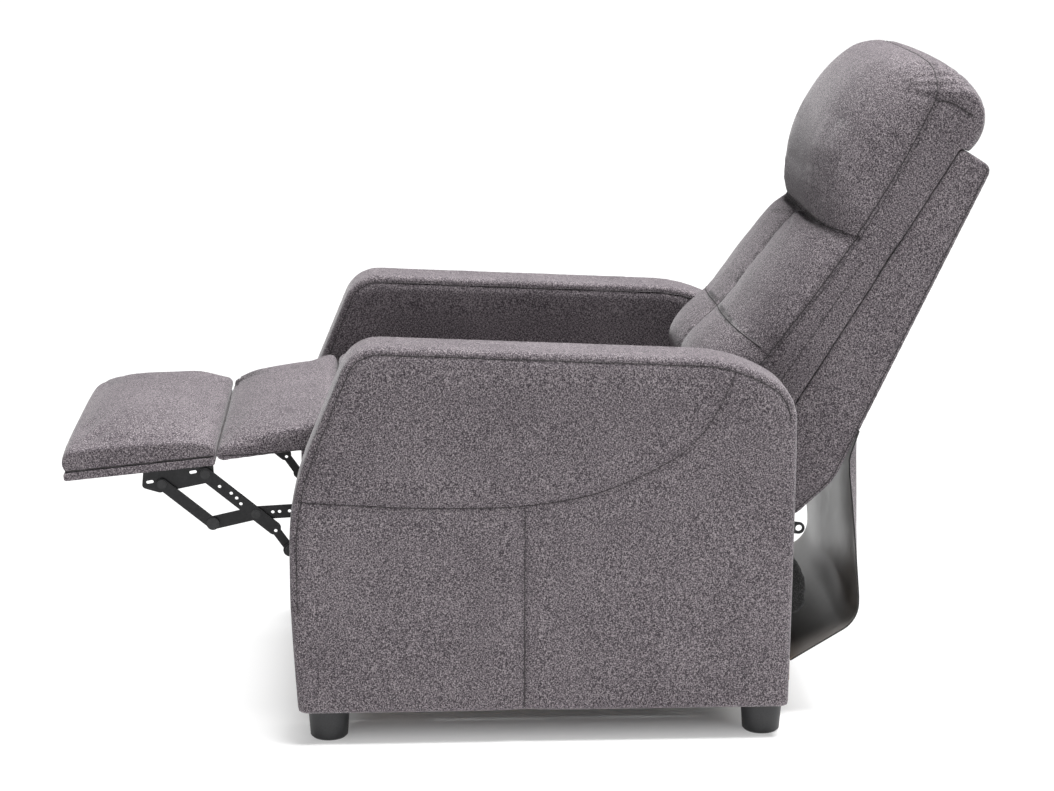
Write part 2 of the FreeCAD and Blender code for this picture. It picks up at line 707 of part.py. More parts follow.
def make_footrest_bracket():
    """Angle bracket under the board: a flange for its screws and a slotted web for the two links."""
    low, high = CROSS_LAYER
    rear, front = FOOTREST_REAR_PIVOT, FOOTREST_FRONT_PIVOT
    corners = [
        on_footrest(108.0, 0.0) + (3.0,),
        (front[0] - 30.0, front[1] - 6.0, 6.0),
        (front[0] - 4.0, front[1] - 14.0, 10.0),
        (rear[0] + 8.0, rear[1] - 13.0, 10.0),
        (rear[0] + 13.0, rear[1] - 4.0, 6.0),
        on_footrest(4.0, 0.0) + (3.0,),
    ]
    web = plate(corners, low, high)
    strip = [(4.0, -PLATE), (4.0, 0.0), (108.0, 0.0), (108.0, -PLATE)]
    flange = plate([on_footrest(*corner) + (0.0,) for corner in strip], low - 28.0, high)
    solid = web.fuse(flange).removeSplitter()
    for pivot in (rear, front):
        cut = slot_between(added(pivot, (-21.0, 2.0)), added(pivot, (-15.0, 3.0)), LINK_HOLE_RADIUS, CROSS_LAYER)
        solid = solid.cut(cut)
    return drilled(solid, [rear, front], RIVET_RADIUS + FIT_GAP, CROSS_LAYER)


FOOTREST_SCREWS = [24.0, 88.0]


def make_footrest_screw(forward):
    """Hexagon screw head under the bracket's flange."""
    x = CROSS_LAYER[0] - 14.0
    angle = math.radians(FOOTREST_TILT)
    corners = []
    for i in range(7):
        turn = math.radians(60.0 * i)
        across_x, along = SCREW_HEAD_RADIUS * math.cos(turn), SCREW_HEAD_RADIUS * math.sin(turn)
        corners.append(side_point(x + across_x, on_footrest(forward + along, -PLATE - SCREW_HEAD)))
    face = Part.Face(Part.makePolygon(corners))
    return face.extrude(Vector(0, -math.sin(angle), math.cos(angle)) * SCREW_HEAD)


def make_cross_link():
    """Inner link of the scissor, from the seat plate past the scissor pivot to the outer link."""
    solid = bar([OUTER_LINK_PIVOT, SCISSOR_PIVOT, CROSS_LINK_PIVOT], LINK_HALF_WIDTH, CROSS_LAYER)
    holes = [moved(SCISSOR_PIVOT, reach, 3.0) for reach in (25.0, 35.0, 50.0)]
    solid = drilled(solid, holes, LINK_HOLE_RADIUS, CROSS_LAYER)
    solid = drilled(solid, [OUTER_LINK_PIVOT, SCISSOR_PIVOT], RIVET_RADIUS + FIT_GAP, CROSS_LAYER)
    return drilled(solid, [CROSS_LINK_PIVOT], PIN_RADIUS + FIT_GAP, CROSS_LAYER)


def make_long_link():
    """Outer link of the scissor: straight to the scissor pivot, then cranked down to the control link."""
    solid = bar([FOOTREST_REAR_PIVOT, SCISSOR_PIVOT, LONG_LINK_BEND], LINK_HALF_WIDTH, LONG_LAYER)
    solid = solid.fuse(bar([LONG_LINK_BEND, LONG_LINK_END], LINK_TAIL_HALF_WIDTH, LONG_LAYER)).removeSplitter()
    holes = [(-118.0, 368.0), (-101.0, 357.5), (-93.0, 350.0), (-87.0, 341.0), (-36.0, 299.0)]
    solid = drilled(solid, holes, LINK_HOLE_RADIUS, LONG_LAYER)
    pivots = [FOOTREST_REAR_PIVOT, SCISSOR_PIVOT, LONG_LINK_END]
    return drilled(solid, pivots, RIVET_RADIUS + FIT_GAP, LONG_LAYER)


def make_outer_link():
    solid = bar([FOOTREST_FRONT_PIVOT, OUTER_LINK_PIVOT], OUTER_LINK_HALF_WIDTH, LONG_LAYER)
    return drilled(solid, [FOOTREST_FRONT_PIVOT, OUTER_LINK_PIVOT], RIVET_RADIUS + FIT_GAP, LONG_LAYER)


def make_control_link():
    """Link with a long slot: its front end stops the long link when the footrest is fully out."""
    solid = bar([LONG_LINK_END, CONTROL_PIVOT], LINK_HALF_WIDTH, CONTROL_LAYER)
    length = math.dist(LONG_LINK_END, CONTROL_PIVOT)
    step = [(CONTROL_PIVOT[i] - LONG_LINK_END[i]) / length * CONTROL_SLOT for i in (0, 1)]
    slot = slot_between(LONG_LINK_END, added(LONG_LINK_END, step), RIVET_RADIUS + CONTROL_SLOT_GAP, CONTROL_LAYER)
    return drilled(solid.cut(slot), [CONTROL_PIVOT], PIN_RADIUS + FIT_GAP, CONTROL_LAYER)


def build_footrest():
    add_pair("cross_link", make_cross_link())
    add_pair("long_link", make_long_link())
    add_pair("outer_link", make_outer_link())
    add_pair("control_link", make_control_link())
    add_node("torque_tube", [tube_across(CROSS_LINK_PIVOT, CROSS_LAYER[0])])
    scissor = rivet(SCISSOR_PIVOT, CROSS_LAYER, LONG_LAYER)
    lower = rivet(OUTER_LINK_PIVOT, CROSS_LAYER, LONG_LAYER, BIG_RIVET_HEAD_RADIUS)
    add_group("cross_link_rivets", [scissor, lower])
    pivots = (FOOTREST_REAR_PIVOT, FOOTREST_FRONT_PIVOT)
    add_group("footrest_rivets", [rivet(pivot, CROSS_LAYER, LONG_LAYER) for pivot in pivots])
    add_group("long_link_pins", [rivet(LONG_LINK_END, LONG_LAYER, CONTROL_LAYER)])
    add_pair("footrest_bracket", make_footrest_bracket())
    add_node("footrest_board", [make_footrest_board()])
    add_group("footrest_screws", [make_footrest_screw(forward) for forward in FOOTREST_SCREWS])
    add_node("footrest_pad", [make_footrest_pad()])
    add_node("calf_pad", [make_calf_pad()])


# Back

GROOVE_FOOT = (741.0, 489.0)
GROOVE_LEAN = RECLINE_LEAN + 6.1


def on_back(along, forward):
    """Side point from the groove between shell and cushions, up along it and forward of it."""
    angle = math.radians(GROOVE_LEAN)
    y = GROOVE_FOOT[0] + along * math.sin(angle) - forward * math.cos(angle)
    return (y, GROOVE_FOOT[1] + along * math.cos(angle) + forward * math.sin(angle))


SHELL_TOP = 448.0
SHELL_DROP = 82.0
SHELL_TOP_DEPTH = 56.0
SHELL_FOOT = (742.0, 314.0)
SHELL_KNEE = (805.0, 372.0)
SHELL_HEEL = (840.0, 462.0)


def shell_corners():
    """Side outline of the back's outer shell, clockwise from its lower front corner."""
    return [
        on_back(-SHELL_DROP, 0.0) + (12.0,),
        on_back(SHELL_TOP, 0.0) + (8.0,),
        on_back(SHELL_TOP, -SHELL_TOP_DEPTH) + (14.0,),
        SHELL_HEEL + (90.0,),
        SHELL_KNEE + (90.0,),
        SHELL_FOOT + (12.0,),
        (SHELL_FOOT[0] - 50.0, SHELL_FOOT[1] + 40.0, 16.0),
    ]


def make_back_shell():
    """Cloth-covered outer shell: rear panel, sides, top and bottom, open towards the cushions."""
    solid = plate(shell_corners(), -BACK_HALF_WIDTH, BACK_HALF_WIDTH)
    rims = [edge for edge in solid.Edges if edge.BoundBox.XLength < 0.01]
    solid = solid.makeFillet(6.0, rims)
    wall = BACK_SIDE_PAD
    hollow = inset(shell_corners(), [-20.0, wall, wall, wall, wall, wall, wall])
    inner = BACK_HALF_WIDTH - wall
    return solid.cut(plate(hollow, -inner, inner))


def make_back_frame():
    """Wooden ladder frame inside the shell: two stiles and four rails."""
    wall = BACK_SIDE_PAD
    outline = inset(shell_corners(), [WEB_THICKNESS + SOFT_GAP, wall, wall, wall, wall, wall, wall])
    inner = BACK_HALF_WIDTH - wall
    slab = plate(outline, -inner, inner)
    pieces = []
    for side in (-1.0, 1.0):
        low = min(side * inner, side * (inner - RAIL_THICKNESS))
        block = plate(box_corners(600.0, 1100.0, 250.0, 1000.0), low, low + RAIL_THICKNESS)
        pieces.append(slab.common(block))
    reach = inner - RAIL_THICKNESS
    for along in (-30.0, 110.0, 250.0, SHELL_TOP - BACK_SIDE_PAD - 40.0):
        corners = [(along, 60.0), (along + 40.0, 60.0), (along + 40.0, -22.0), (along, -22.0)]
        block = plate([on_back(*corner) + (0.0,) for corner in corners], -reach, reach)
        pieces.append(slab.common(block))
    frame = pieces[0]
    for piece in pieces[1:]:
        frame = frame.fuse(piece)
    return frame.removeSplitter()


def make_webbing():
    """Elastic straps across the front of the back frame."""
    half = BACK_HALF_WIDTH - BACK_SIDE_PAD - SOFT_GAP
    pitch = (SHELL_TOP - 2.0 * WEB_WIDTH) / (WEB_COUNT - 1)
    straps = []
    for i in range(WEB_COUNT):
        low = 4.0 + i * pitch
        sides = [(low, -WEB_THICKNESS), (low, 0.0), (low + WEB_WIDTH, 0.0), (low + WEB_WIDTH, -WEB_THICKNESS)]
        corners = [on_back(along, forward - SOFT_GAP / 2.0) + (0.0,) for along, forward in sides]
        straps.append(plate(corners, -half, half))
    return straps


def make_back_bracket():
    """Cranked bracket on the side of the shell: pivot in the middle, seat pin at its lower end."""
    mount = (714.0, 424.0)
    solid = bar([BACK_PIN, BACK_PIVOT, mount], SWING_HALF_WIDTH, SWING_LAYER)
    return drilled(solid, [BACK_PIN, BACK_PIVOT], PIN_RADIUS + FIT_GAP, SWING_LAYER)


def make_back_pin():
    """Pin from the back bracket inwards through the slot of the seat plate."""
    end = SEAT_LAYER[0] - HEAD_GAP
    return turned(BACK_PIN, [
        (end - HEAD_THICKNESS, 0.0),
        (end, PIN_RADIUS + PIN_HEAD_STEP),
        (SEAT_LAYER[1] + HEAD_GAP, PIN_RADIUS),
        (SWING_LAYER[0], PIN_RADIUS + PIN_HEAD_STEP),
        (SWING_LAYER[1], PIN_RADIUS),
    ])


LUMBAR_TOP = 240.0
LUMBAR_SEAM = 44.0
LUMBAR_FOOT = -82.0
SEAM_DRAW = 0.06
PILLOW_TOP = 540.0


def make_lumbar_cushion():
    """Lumbar cushion: drawn in by a cross seam and by a seam down its middle."""
    gap = SOFT_GAP

    def outline(x, fullness):
        def swell(along, forward):
            return on_back(along, gap + (forward - gap) * fullness)

        start = swell(LUMBAR_FOOT, gap)
        return curve_wire(x, start, [
            (swell(LUMBAR_FOOT - 6.0, 60.0), swell(LUMBAR_FOOT + 12.0, 112.0)),
            (swell(-24.0, 137.0), swell(LUMBAR_SEAM, 119.0)),
            (swell(136.0, 123.0), swell(LUMBAR_TOP - 2.0, 103.0)),
            (swell(LUMBAR_TOP - 6.0, 80.0), swell(LUMBAR_TOP - 13.0, 50.0)),
            (swell(LUMBAR_TOP - 12.0, gap),),
            (start,),
        ])

    half = BACK_HALF_WIDTH - 1.5
    return soft_loft(outline, half, lambda part: crown(part, 0.53) - SEAM_DRAW * math.exp(-part / 0.12))


def make_head_pillow():
    """Head pillow: full in front, its rounded top standing on the front of the shell's top."""
    gap = SOFT_GAP
    rest = SHELL_TOP + gap

    def outline(x, fullness):
        def swell(along, forward):
            high = along if along < rest + 20.0 else rest + 20.0 + (along - rest - 20.0) * (0.5 + 0.5 * fullness)
            return on_back(high, gap + (forward - gap) * fullness if forward > gap else forward)

        start = on_back(rest, gap)
        rear = 8.0 - 34.0 * fullness
        return curve_wire(x, start, [
            (on_back(rest, rear),),
            (swell(rest + 38.0, rear - 2.0), swell(PILLOW_TOP - 14.0, 4.0)),
            (swell(PILLOW_TOP + 2.0, 72.0), swell(PILLOW_TOP - 40.0, 152.0)),
            (swell(390.0, 178.0), swell(278.0, 142.0)),
            (swell(LUMBAR_TOP + 14.0, 118.0), swell(LUMBAR_TOP + 1.0, 80.0)),
            (swell(LUMBAR_TOP - 7.0, 50.0), swell(LUMBAR_TOP - 6.0, gap)),
            (start,),
        ])

    half = BACK_HALF_WIDTH - 1.5
    return soft_loft(outline, half, lambda part: crown(part, 0.37))


def build_back():
    add_node("back_shell", [make_back_shell()])
    add_node("back_frame", [make_back_frame()])
    add_node("back_webbing", make_webbing())
    add_node("lumbar_cushion", [make_lumbar_cushion()])
    add_node("head_pillow", [make_head_pillow()])
    add_pair("back_bracket", make_back_bracket())
    add_group("back_bracket_pins", [make_back_pin()])


def middle_of_chair():
    """Y of the middle between the footrest's front and the pillow's rear."""
    front = NODES["footrest_pad"].optimalBoundingBox(False, False).YMin
    rear = NODES["head_pillow"].optimalBoundingBox(False, False).YMax
    board = NODES["footrest_board"].optimalBoundingBox(False, False).YMin
    return (min(front, board) + rear) / 2.0


build_base()
build_seat()
build_footrest()
build_back()
MIDDLE_Y = middle_of_chair()
os.makedirs("parts", exist_ok=True)
for node_name, node_shape in NODES.items():
    node_shape.translate(Vector(0, -MIDDLE_Y, 0))
    node_shape.exportStep("parts/" + node_name + ".step")
print("nodes", len(NODES), "middle at y", round(MIDDLE_Y, 3))
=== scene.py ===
"""Push-back reclining armchair: cloth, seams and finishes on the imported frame.

Lengths are in metres. Side places are written in millimetres, as (y, z) from the front foot of the
near arm, and moved into the frame's own axes by the arm cover's box.
"""
import json
import math

import bmesh
import bpy
import numpy as np
from mathutils import Matrix, Vector
from mathutils.bvhtree import BVHTree
from mathutils.kdtree import KDTree


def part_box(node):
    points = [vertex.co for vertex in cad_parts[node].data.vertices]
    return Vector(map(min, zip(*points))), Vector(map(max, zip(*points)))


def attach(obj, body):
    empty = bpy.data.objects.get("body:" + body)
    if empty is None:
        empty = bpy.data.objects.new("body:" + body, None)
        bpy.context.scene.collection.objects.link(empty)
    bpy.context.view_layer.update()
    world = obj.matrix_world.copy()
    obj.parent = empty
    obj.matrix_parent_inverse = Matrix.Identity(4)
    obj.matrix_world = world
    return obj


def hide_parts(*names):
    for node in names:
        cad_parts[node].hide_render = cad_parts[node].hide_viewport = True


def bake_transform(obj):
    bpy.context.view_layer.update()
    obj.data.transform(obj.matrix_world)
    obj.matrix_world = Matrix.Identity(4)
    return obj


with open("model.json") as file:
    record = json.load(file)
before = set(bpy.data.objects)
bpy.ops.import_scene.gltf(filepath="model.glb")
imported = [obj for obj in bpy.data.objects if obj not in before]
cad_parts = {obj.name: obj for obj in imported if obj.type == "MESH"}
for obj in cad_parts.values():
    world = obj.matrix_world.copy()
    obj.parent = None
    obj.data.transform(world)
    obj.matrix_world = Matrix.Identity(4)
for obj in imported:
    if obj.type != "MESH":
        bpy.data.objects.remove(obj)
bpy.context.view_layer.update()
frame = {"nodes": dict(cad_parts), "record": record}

# Places taken from the frame
MM = 0.001
ARM_OVERHANG = 11.5
DATUM_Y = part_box("arm_cover_left")[0][1] + ARM_OVERHANG * MM
ARM_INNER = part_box("arm_cover_left")[0][0]
ARM_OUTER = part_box("arm_cover_left")[1][0]
BACK_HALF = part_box("back_shell")[1][0]
SEAT_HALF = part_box("seat_cushion")[1][0]

# The back's own axes: up along the groove between shell and cushion, and forward of it
GROOVE_FOOT = (741.0, 489.0)
GROOVE_LEAN = math.radians(31.5)

# Photograph's camera
IMAGE_WIDTH = 1054.0
FOCAL_PIXELS = 2518.5
CAMERA_PLACE = (3868.0, 127.0, 1332.5)
CAMERA_YAW = 0.058250
CAMERA_PITCH = 0.223597
CAMERA_ROLL = 0.0044276

# Cloth work
VOXEL = 0.0055
PAD_VOXEL = 0.005
SWELL_FRAMES = 20
THREAD_RADIUS = 0.00065
ROUTE_STEP = 0.004
DROP_START = 0.5
FLAT_ENOUGH = 0.985
# Share of a seam's width over which painted shade is laid along it
SHADE_MARK_SHARE = 0.85


def side_place(x, y, z):
    """Point from millimetres: x across, y from the arm's front foot, z from the floor."""
    return Vector((x * MM, DATUM_Y + y * MM, z * MM))


def back_place(x, along, forward):
    """Point from millimetres in the back's own axes."""
    y = GROOVE_FOOT[0] + along * math.sin(GROOVE_LEAN) - forward * math.cos(GROOVE_LEAN)
    z = GROOVE_FOOT[1] + along * math.cos(GROOVE_LEAN) + forward * math.sin(GROOVE_LEAN)
    return side_place(x, y, z)


BACK_FORWARD = back_place(0, 0, 1000) - back_place(0, 0, 0)
BACK_ALONG = back_place(0, 1000, 0) - back_place(0, 0, 0)
BACK_INWARD = -BACK_FORWARD


# Selecting and copying

def deselect():
    if bpy.context.object and bpy.context.object.mode != "OBJECT":
        bpy.ops.object.mode_set(mode="OBJECT")
    bpy.ops.object.select_all(action="DESELECT")


def activate(piece):
    deselect()
    piece.select_set(True)
    bpy.context.view_layer.objects.active = piece


def copy_of(node, name):
    """New piece with a merged copy of a CAD node's mesh."""
    piece = bpy.data.objects.new(name, frame["nodes"][node].data.copy())
    bpy.context.scene.collection.objects.link(piece)
    piece.data.materials.clear()
    activate(piece)
    bpy.ops.object.mode_set(mode="EDIT")
    bpy.ops.mesh.select_all(action="SELECT")
    bpy.ops.mesh.remove_doubles(threshold=1e-5)
    bpy.ops.object.mode_set(mode="OBJECT")
    return piece


def outer_form_of(node, name):
    """New piece with a CAD node's outer form, without its slots and hollows."""
    piece = copy_of(node, name)
    bpy.ops.object.mode_set(mode="EDIT")
    bpy.ops.mesh.select_all(action="SELECT")
    bpy.ops.mesh.convex_hull()
    bpy.ops.object.mode_set(mode="OBJECT")
    return piece


def join(first, *others):
    activate(first)
    for other in others:
        other.select_set(True)
    bpy.ops.object.join()


def even_mesh(piece, voxel=VOXEL, smooth=3):
    """Even faces all over, with the loft's small steps smoothed out."""
    activate(piece)
    piece.data.remesh_voxel_size = voxel
    bpy.ops.object.voxel_remesh()
    soften(piece, smooth)


def soften(piece, rounds, group=""):
    """Smooths a piece, or only the points of a vertex group."""
    smooth = piece.modifiers.new("soften", "SMOOTH")
    smooth.factor = 0.5
    smooth.iterations = rounds
    smooth.vertex_group = group
    apply_modifier(piece, smooth)


def apply_modifier(piece, modifier):
    activate(piece)
    bpy.ops.object.modifier_apply(modifier=modifier.name)


def shade_soft(piece):
    activate(piece)
    bpy.ops.object.shade_smooth()


# Points of a mesh

def points_of(mesh):
    flat = np.empty(len(mesh.vertices) * 3)
    mesh.vertices.foreach_get("co", flat)
    return flat.reshape(-1, 3)


def normals_of(mesh):
    flat = np.empty(len(mesh.vertices) * 3)
    mesh.vertices.foreach_get("normal", flat)
    return flat.reshape(-1, 3)


def set_points(mesh, points):
    mesh.vertices.foreach_set("co", np.ascontiguousarray(points, dtype=np.float64).ravel())
    mesh.update()


def push_out(piece, amounts):
    """Moves each point along its own normal."""
    mesh = piece.data
    set_points(mesh, points_of(mesh) + normals_of(mesh) * amounts[:, None])


def keep_within(piece, half_width):
    """Sides pressed flat where they would reach past a half width."""
    points = points_of(piece.data)
    points[:, 0] = np.clip(points[:, 0], -half_width, half_width)
    set_points(piece.data, points)


def in_back_axes(points):
    """(along, forward) of points in the back's own axes, in metres."""
    rel = points - np.array(back_place(0, 0, 0))
    return rel @ np.array(BACK_ALONG), rel @ np.array(BACK_FORWARD)


def share_of(values, start, length):
    """How far values have come over a length from a start, from 0 to 1."""
    return np.clip((values - start) / length, 0.0, 1.0)


def ease(share):
    """A share with a soft start and end."""
    return share * share * (3 - 2 * share)


# Seams

def route(stops):
    """Even points on a smooth line through the stops."""
    first, last = stops[0] * 2 - stops[1], stops[-1] * 2 - stops[-2]
    ends = [first, *stops, last]
    line = []
    for a, b, c, d in zip(ends, ends[1:], ends[2:], ends[3:]):
        steps = max(int((c - b).length / ROUTE_STEP), 1)
        for k in range(steps):
            t = k / steps
            line.append(0.5 * (2 * b + (c - a) * t + (2 * a - 5 * b + 4 * c - d) * t * t
                               + (3 * b - a - 3 * c + d) * t * t * t))
    return line + [stops[-1]]


def anywhere(point):
    return True


def rim(piece, direction, keep=anywhere):
    """Edge loop round the flat faces that look along a direction, as the kept points in their order."""
    bm = bmesh.new()
    bm.from_mesh(piece.data)
    flat = {face for face in bm.faces if face.normal.dot(Vector(direction)) > FLAT_ENOUGH}
    links = {}
    for edge in bm.edges:
        if sum(face in flat for face in edge.link_faces) == 1:
            a, b = edge.verts
            links.setdefault(a, []).append(b)
            links.setdefault(b, []).append(a)
    start = next((v for v in links if not keep(v.co)), next(iter(links)))
    loop, last, here = [start.co.copy()], None, start
    while True:
        following = [v for v in links[here] if v is not last]
        if not following or following[0] is start:
            break
        last, here = here, following[0]
        loop.append(here.co.copy())
    bm.free()
    return [point for point in loop if keep(point)]


def even_steps(stops):
    """Points at even steps along straight runs."""
    line = []
    for a, b in zip(stops, stops[1:]):
        steps = max(int((b - a).length / ROUTE_STEP), 1)
        line += [a.lerp(b, k / steps) for k in range(steps)]
    return line + [stops[-1]]


def surface_of(piece):
    """Search tree over a piece's faces."""
    places = [vertex.co for vertex in piece.data.vertices]
    faces = [face.vertices for face in piece.data.polygons]
    return BVHTree.FromPolygons(places, faces)


def drop_on(piece, line, direction):
    """The line moved along a direction until it lies on the piece."""
    surface = surface_of(piece)
    towards = Vector(direction).normalized()
    dropped = []
    for point in line:
        hit = surface.ray_cast(point - towards * DROP_START, towards)[0]
        if hit is None:
            hit = surface.find_nearest(point)[0]
        dropped.append(hit)
    return dropped


def snapped(piece, line):
    """The line moved to the nearest places on the piece."""
    surface = surface_of(piece)
    return [surface.find_nearest(point)[0] for point in line]


def side_ends(line, beyond):
    """The two end runs of a line across the chair, further out than a place."""
    return [[place for place in line if place.x * sign > beyond] for sign in (-1, 1)]


def to_seams(points, lines):
    """Distance of each point to the nearest seam line, and how far along it that is."""
    tree = KDTree(sum(len(line) for line in lines))
    reached = []
    for line in lines:
        run = 0.0
        for i, place in enumerate(line):
            run += (place - line[i - 1]).length if i else 0.0
            tree.insert(place, len(reached))
            reached.append(run)
    tree.balance()
    distance, along = np.empty(len(points)), np.empty(len(points))
    for i, point in enumerate(points):
        place, index, distance[i] = tree.find(point)
        along[i] = reached[index]
    return distance, along


def from_seams(piece, lines):
    """Distance of each point of a piece to the nearest seam line."""
    return to_seams(points_of(piece.data), lines)[0]


def relax_near(piece, lines, reach, rounds):
    """Softens a sharp fold along lines."""
    distance = from_seams(piece, lines)
    group = piece.vertex_groups.new(name="fold")
    for i in np.flatnonzero(distance < 2 * reach):
        group.add([int(i)], math.exp(-(distance[i] / reach) ** 2), "REPLACE")
    soften(piece, rounds, group.name)
    piece.vertex_groups.clear()


def sew(piece, lines, depth, width, pucker=0.0, fold=0.018):
    """Draws the cloth in along seams, with small folds across them, and marks painted shade along them
    for the cloth's colour.
    """
    mesh = piece.data
    distance, along = to_seams(points_of(mesh), lines)
    valley = np.exp(-(distance / width) ** 2)
    wave = np.sin(2 * math.pi * along / fold + 1.7 * np.sin(along * 23.0))
    folds = pucker * wave * np.exp(-distance / (3 * width)) * (1 - 0.7 * valley)
    push_out(piece, folds - depth * valley)
    # Painted shade in the seam valleys: a point value by which the cloth's colour is darkened
    shade_mark = mesh.attributes.get("seam") or mesh.attributes.new("seam", "FLOAT", "POINT")
    old = np.empty(len(distance))
    shade_mark.data.foreach_get("value", old)
    new = np.exp(-(distance / (SHADE_MARK_SHARE * width)) ** 2)
    shade_mark.data.foreach_set("value", np.maximum(old, new))


def puff(piece, lines, height, reach):
    """Lifts the cloth between seams a little, as wadding under it does."""
    push_out(piece, height * (1 - np.exp(-from_seams(piece, lines) / reach)))


def stitch(name, piece, lines, body, radius=THREAD_RADIUS):
    """Thread that lies in the seams of a piece, near-black so that it also paints the shade line of each
    seam's groove.
    """
    curve = bpy.data.curves.new(name, "CURVE")
    curve.dimensions = "3D"
    curve.bevel_depth = radius
    curve.bevel_resolution = 1
    for line in lines:
        spline = curve.splines.new("POLY")
        places = snapped(piece, line)
        spline.points.add(len(places) - 1)
        for point, place in zip(spline.points, places):
            point.co = (*place, 1.0)
    seams = bpy.data.objects.new(name, curve)
    bpy.context.scene.collection.objects.link(seams)
    activate(seams)
    bpy.ops.object.convert(target="MESH")
    seams = bpy.context.object
    seams.data.materials.clear()
    seams.data.materials.append(THREAD_WITH_SEAM_SHADE)
    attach(seams, body)


# Swelling and finishing

def swell(piece, held, reach, pressure=4.0, only=None):
    """Cloth under pressure from inside: held points stay, and no point moves further than reach.

    With a direction in only, points move along it and not to the sides.
    """
    before = points_of(piece.data)
    move = swollen_points(piece, held, pressure) - before
    if only is not None:
        way = np.array(only)
        move = np.maximum(move @ way, 0.0)[:, None] * way
    length = np.maximum(np.linalg.norm(move, axis=1, keepdims=True), 1e-9)
    reach = np.asarray(reach).reshape(-1, 1)
    set_points(piece.data, before + move / length * np.tanh(length / reach) * reach)


def swollen_points(piece, held, pressure):
    """Places of a piece's points when its cloth has been under pressure for a while."""
    group = piece.vertex_groups.new(name="held")
    group.add([int(i) for i in np.flatnonzero(held)], 1.0, "REPLACE")
    cloth = piece.modifiers.new("swell", "CLOTH")
    cloth.settings.use_pressure = True
    cloth.settings.uniform_pressure_force = pressure
    cloth.settings.effector_weights.gravity = 0.0
    cloth.settings.vertex_group_mass = group.name
    cloth.collision_settings.use_collision = False
    cloth.point_cache.frame_start = 1
    cloth.point_cache.frame_end = SWELL_FRAMES
    for step in range(1, SWELL_FRAMES + 1):
        bpy.context.scene.frame_set(step)
    graph = bpy.context.evaluated_depsgraph_get()
    after = points_of(piece.evaluated_get(graph).data)
    piece.modifiers.remove(cloth)
    piece.vertex_groups.remove(group)
    bpy.context.scene.frame_set(1)
    return after


def cover(piece, material, slot, body, *nodes):
    """Finish, body and replaced nodes of a covered piece."""
    piece.data.materials.clear()
    piece.data.materials.append(material)
    shade_soft(piece)
    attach(piece, body)
    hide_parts(*nodes)


def finish_pad(piece, body, *nodes, fill=0.8):
    """Cloth, body and replaced nodes of a padded piece."""
    cover(piece, CLOTH, "upholstery", body, *nodes)


# Materials

def new_material(name):
    material = bpy.data.materials.new(name)
    material.use_nodes = True
    tree = material.node_tree
    shader = tree.nodes["Principled BSDF"]
    return material, tree, shader


def add(tree, kind, **values):
    """New node with values on its sockets or properties."""
    node = tree.nodes.new(kind)
    for key, value in values.items():
        if key in node.inputs:
            node.inputs[key].default_value = value
        else:
            setattr(node, key, value)
    return node


def set_inputs(node, values):
    """Values on a node's sockets, by the sockets' names."""
    for name, value in values.items():
        node.inputs[name].default_value = value


def object_place(tree):
    return add(tree, "ShaderNodeTexCoord").outputs["Object"]


def combine(tree, operation, a, b):
    node = add(tree, "ShaderNodeMath", operation=operation)
    for socket, value in zip(node.inputs, (a, b)):
        if isinstance(value, float):
            socket.default_value = value
        else:
            tree.links.new(value, socket)
    return node.outputs["Value"]


def fleck_noise(tree, scale):
    """Noise stretched into short threads along one axis."""
    stretch = add(tree, "ShaderNodeMapping", Scale=scale)
    noise = add(tree, "ShaderNodeTexNoise", Scale=1.0, Detail=1.0, Roughness=0.5)
    tree.links.new(object_place(tree), stretch.inputs["Vector"])
    tree.links.new(stretch.outputs["Vector"], noise.inputs["Vector"])
    return noise.outputs["Fac"]


def plain_noise(tree, scale, detail, roughness=0.5):
    noise = add(tree, "ShaderNodeTexNoise", Scale=scale, Detail=detail, Roughness=roughness)
    tree.links.new(object_place(tree), noise.inputs["Vector"])
    return noise.outputs["Fac"]


def colour_ramp(tree, factor, *stops):
    """Colour that runs through (position, colour) stops as a factor grows."""
    ramp = add(tree, "ShaderNodeValToRGB")
    elements = ramp.color_ramp.elements
    for element, (position, colour) in ((elements[0], stops[0]), (elements[1], stops[-1])):
        element.position = position
        element.color = (*colour, 1.0)
    for position, colour in stops[1:-1]:
        elements.new(position).color = (*colour, 1.0)
    tree.links.new(factor, ramp.inputs["Fac"])
    return ramp.outputs["Color"]


def raise_grain(tree, shader, height, strength, distance):
    """Small relief of a surface."""
    bump = add(tree, "ShaderNodeBump", Strength=strength, Distance=distance)
    tree.links.new(height, bump.inputs["Height"])
    tree.links.new(bump.outputs["Normal"], shader.inputs["Normal"])


YARN_ACROSS = 860.0
YARN_ALONG = 300.0
# Painted shade along seams and creases: how strongly it darkens the cloth, and its colour
SEAM_SHADE = 0.30
SEAM_SHADE_COLOUR = (0.25, 0.24, 0.25, 1.0)


def yarn_noise(tree):
    """Mean of short threads along each axis."""
    along_x = fleck_noise(tree, (YARN_ALONG, YARN_ACROSS, YARN_ACROSS))
    along_y = fleck_noise(tree, (YARN_ACROSS, YARN_ALONG, YARN_ACROSS))
    along_z = fleck_noise(tree, (YARN_ACROSS, YARN_ACROSS, YARN_ALONG))
    total = combine(tree, "ADD", combine(tree, "ADD", along_x, along_y), along_z)
    return combine(tree, "DIVIDE", total, 3.0)


def seam_painted_shade(tree, colour):
    """A cloth's colour, darkened by painted shade where the piece is marked along its seams."""
    # Point value from the seams, which paints shade into the cloth's colour
    seam = add(tree, "ShaderNodeAttribute", attribute_name="seam")
    shade = add(tree, "ShaderNodeMix", data_type="RGBA", blend_type="MULTIPLY")
    factor = combine(tree, "MULTIPLY", seam.outputs["Fac"], SEAM_SHADE)
    tree.links.new(factor, shade.inputs["Factor"])
    tree.links.new(colour, shade.inputs["A"])
    shade.inputs["B"].default_value = SEAM_SHADE_COLOUR
    return shade.outputs["Result"]


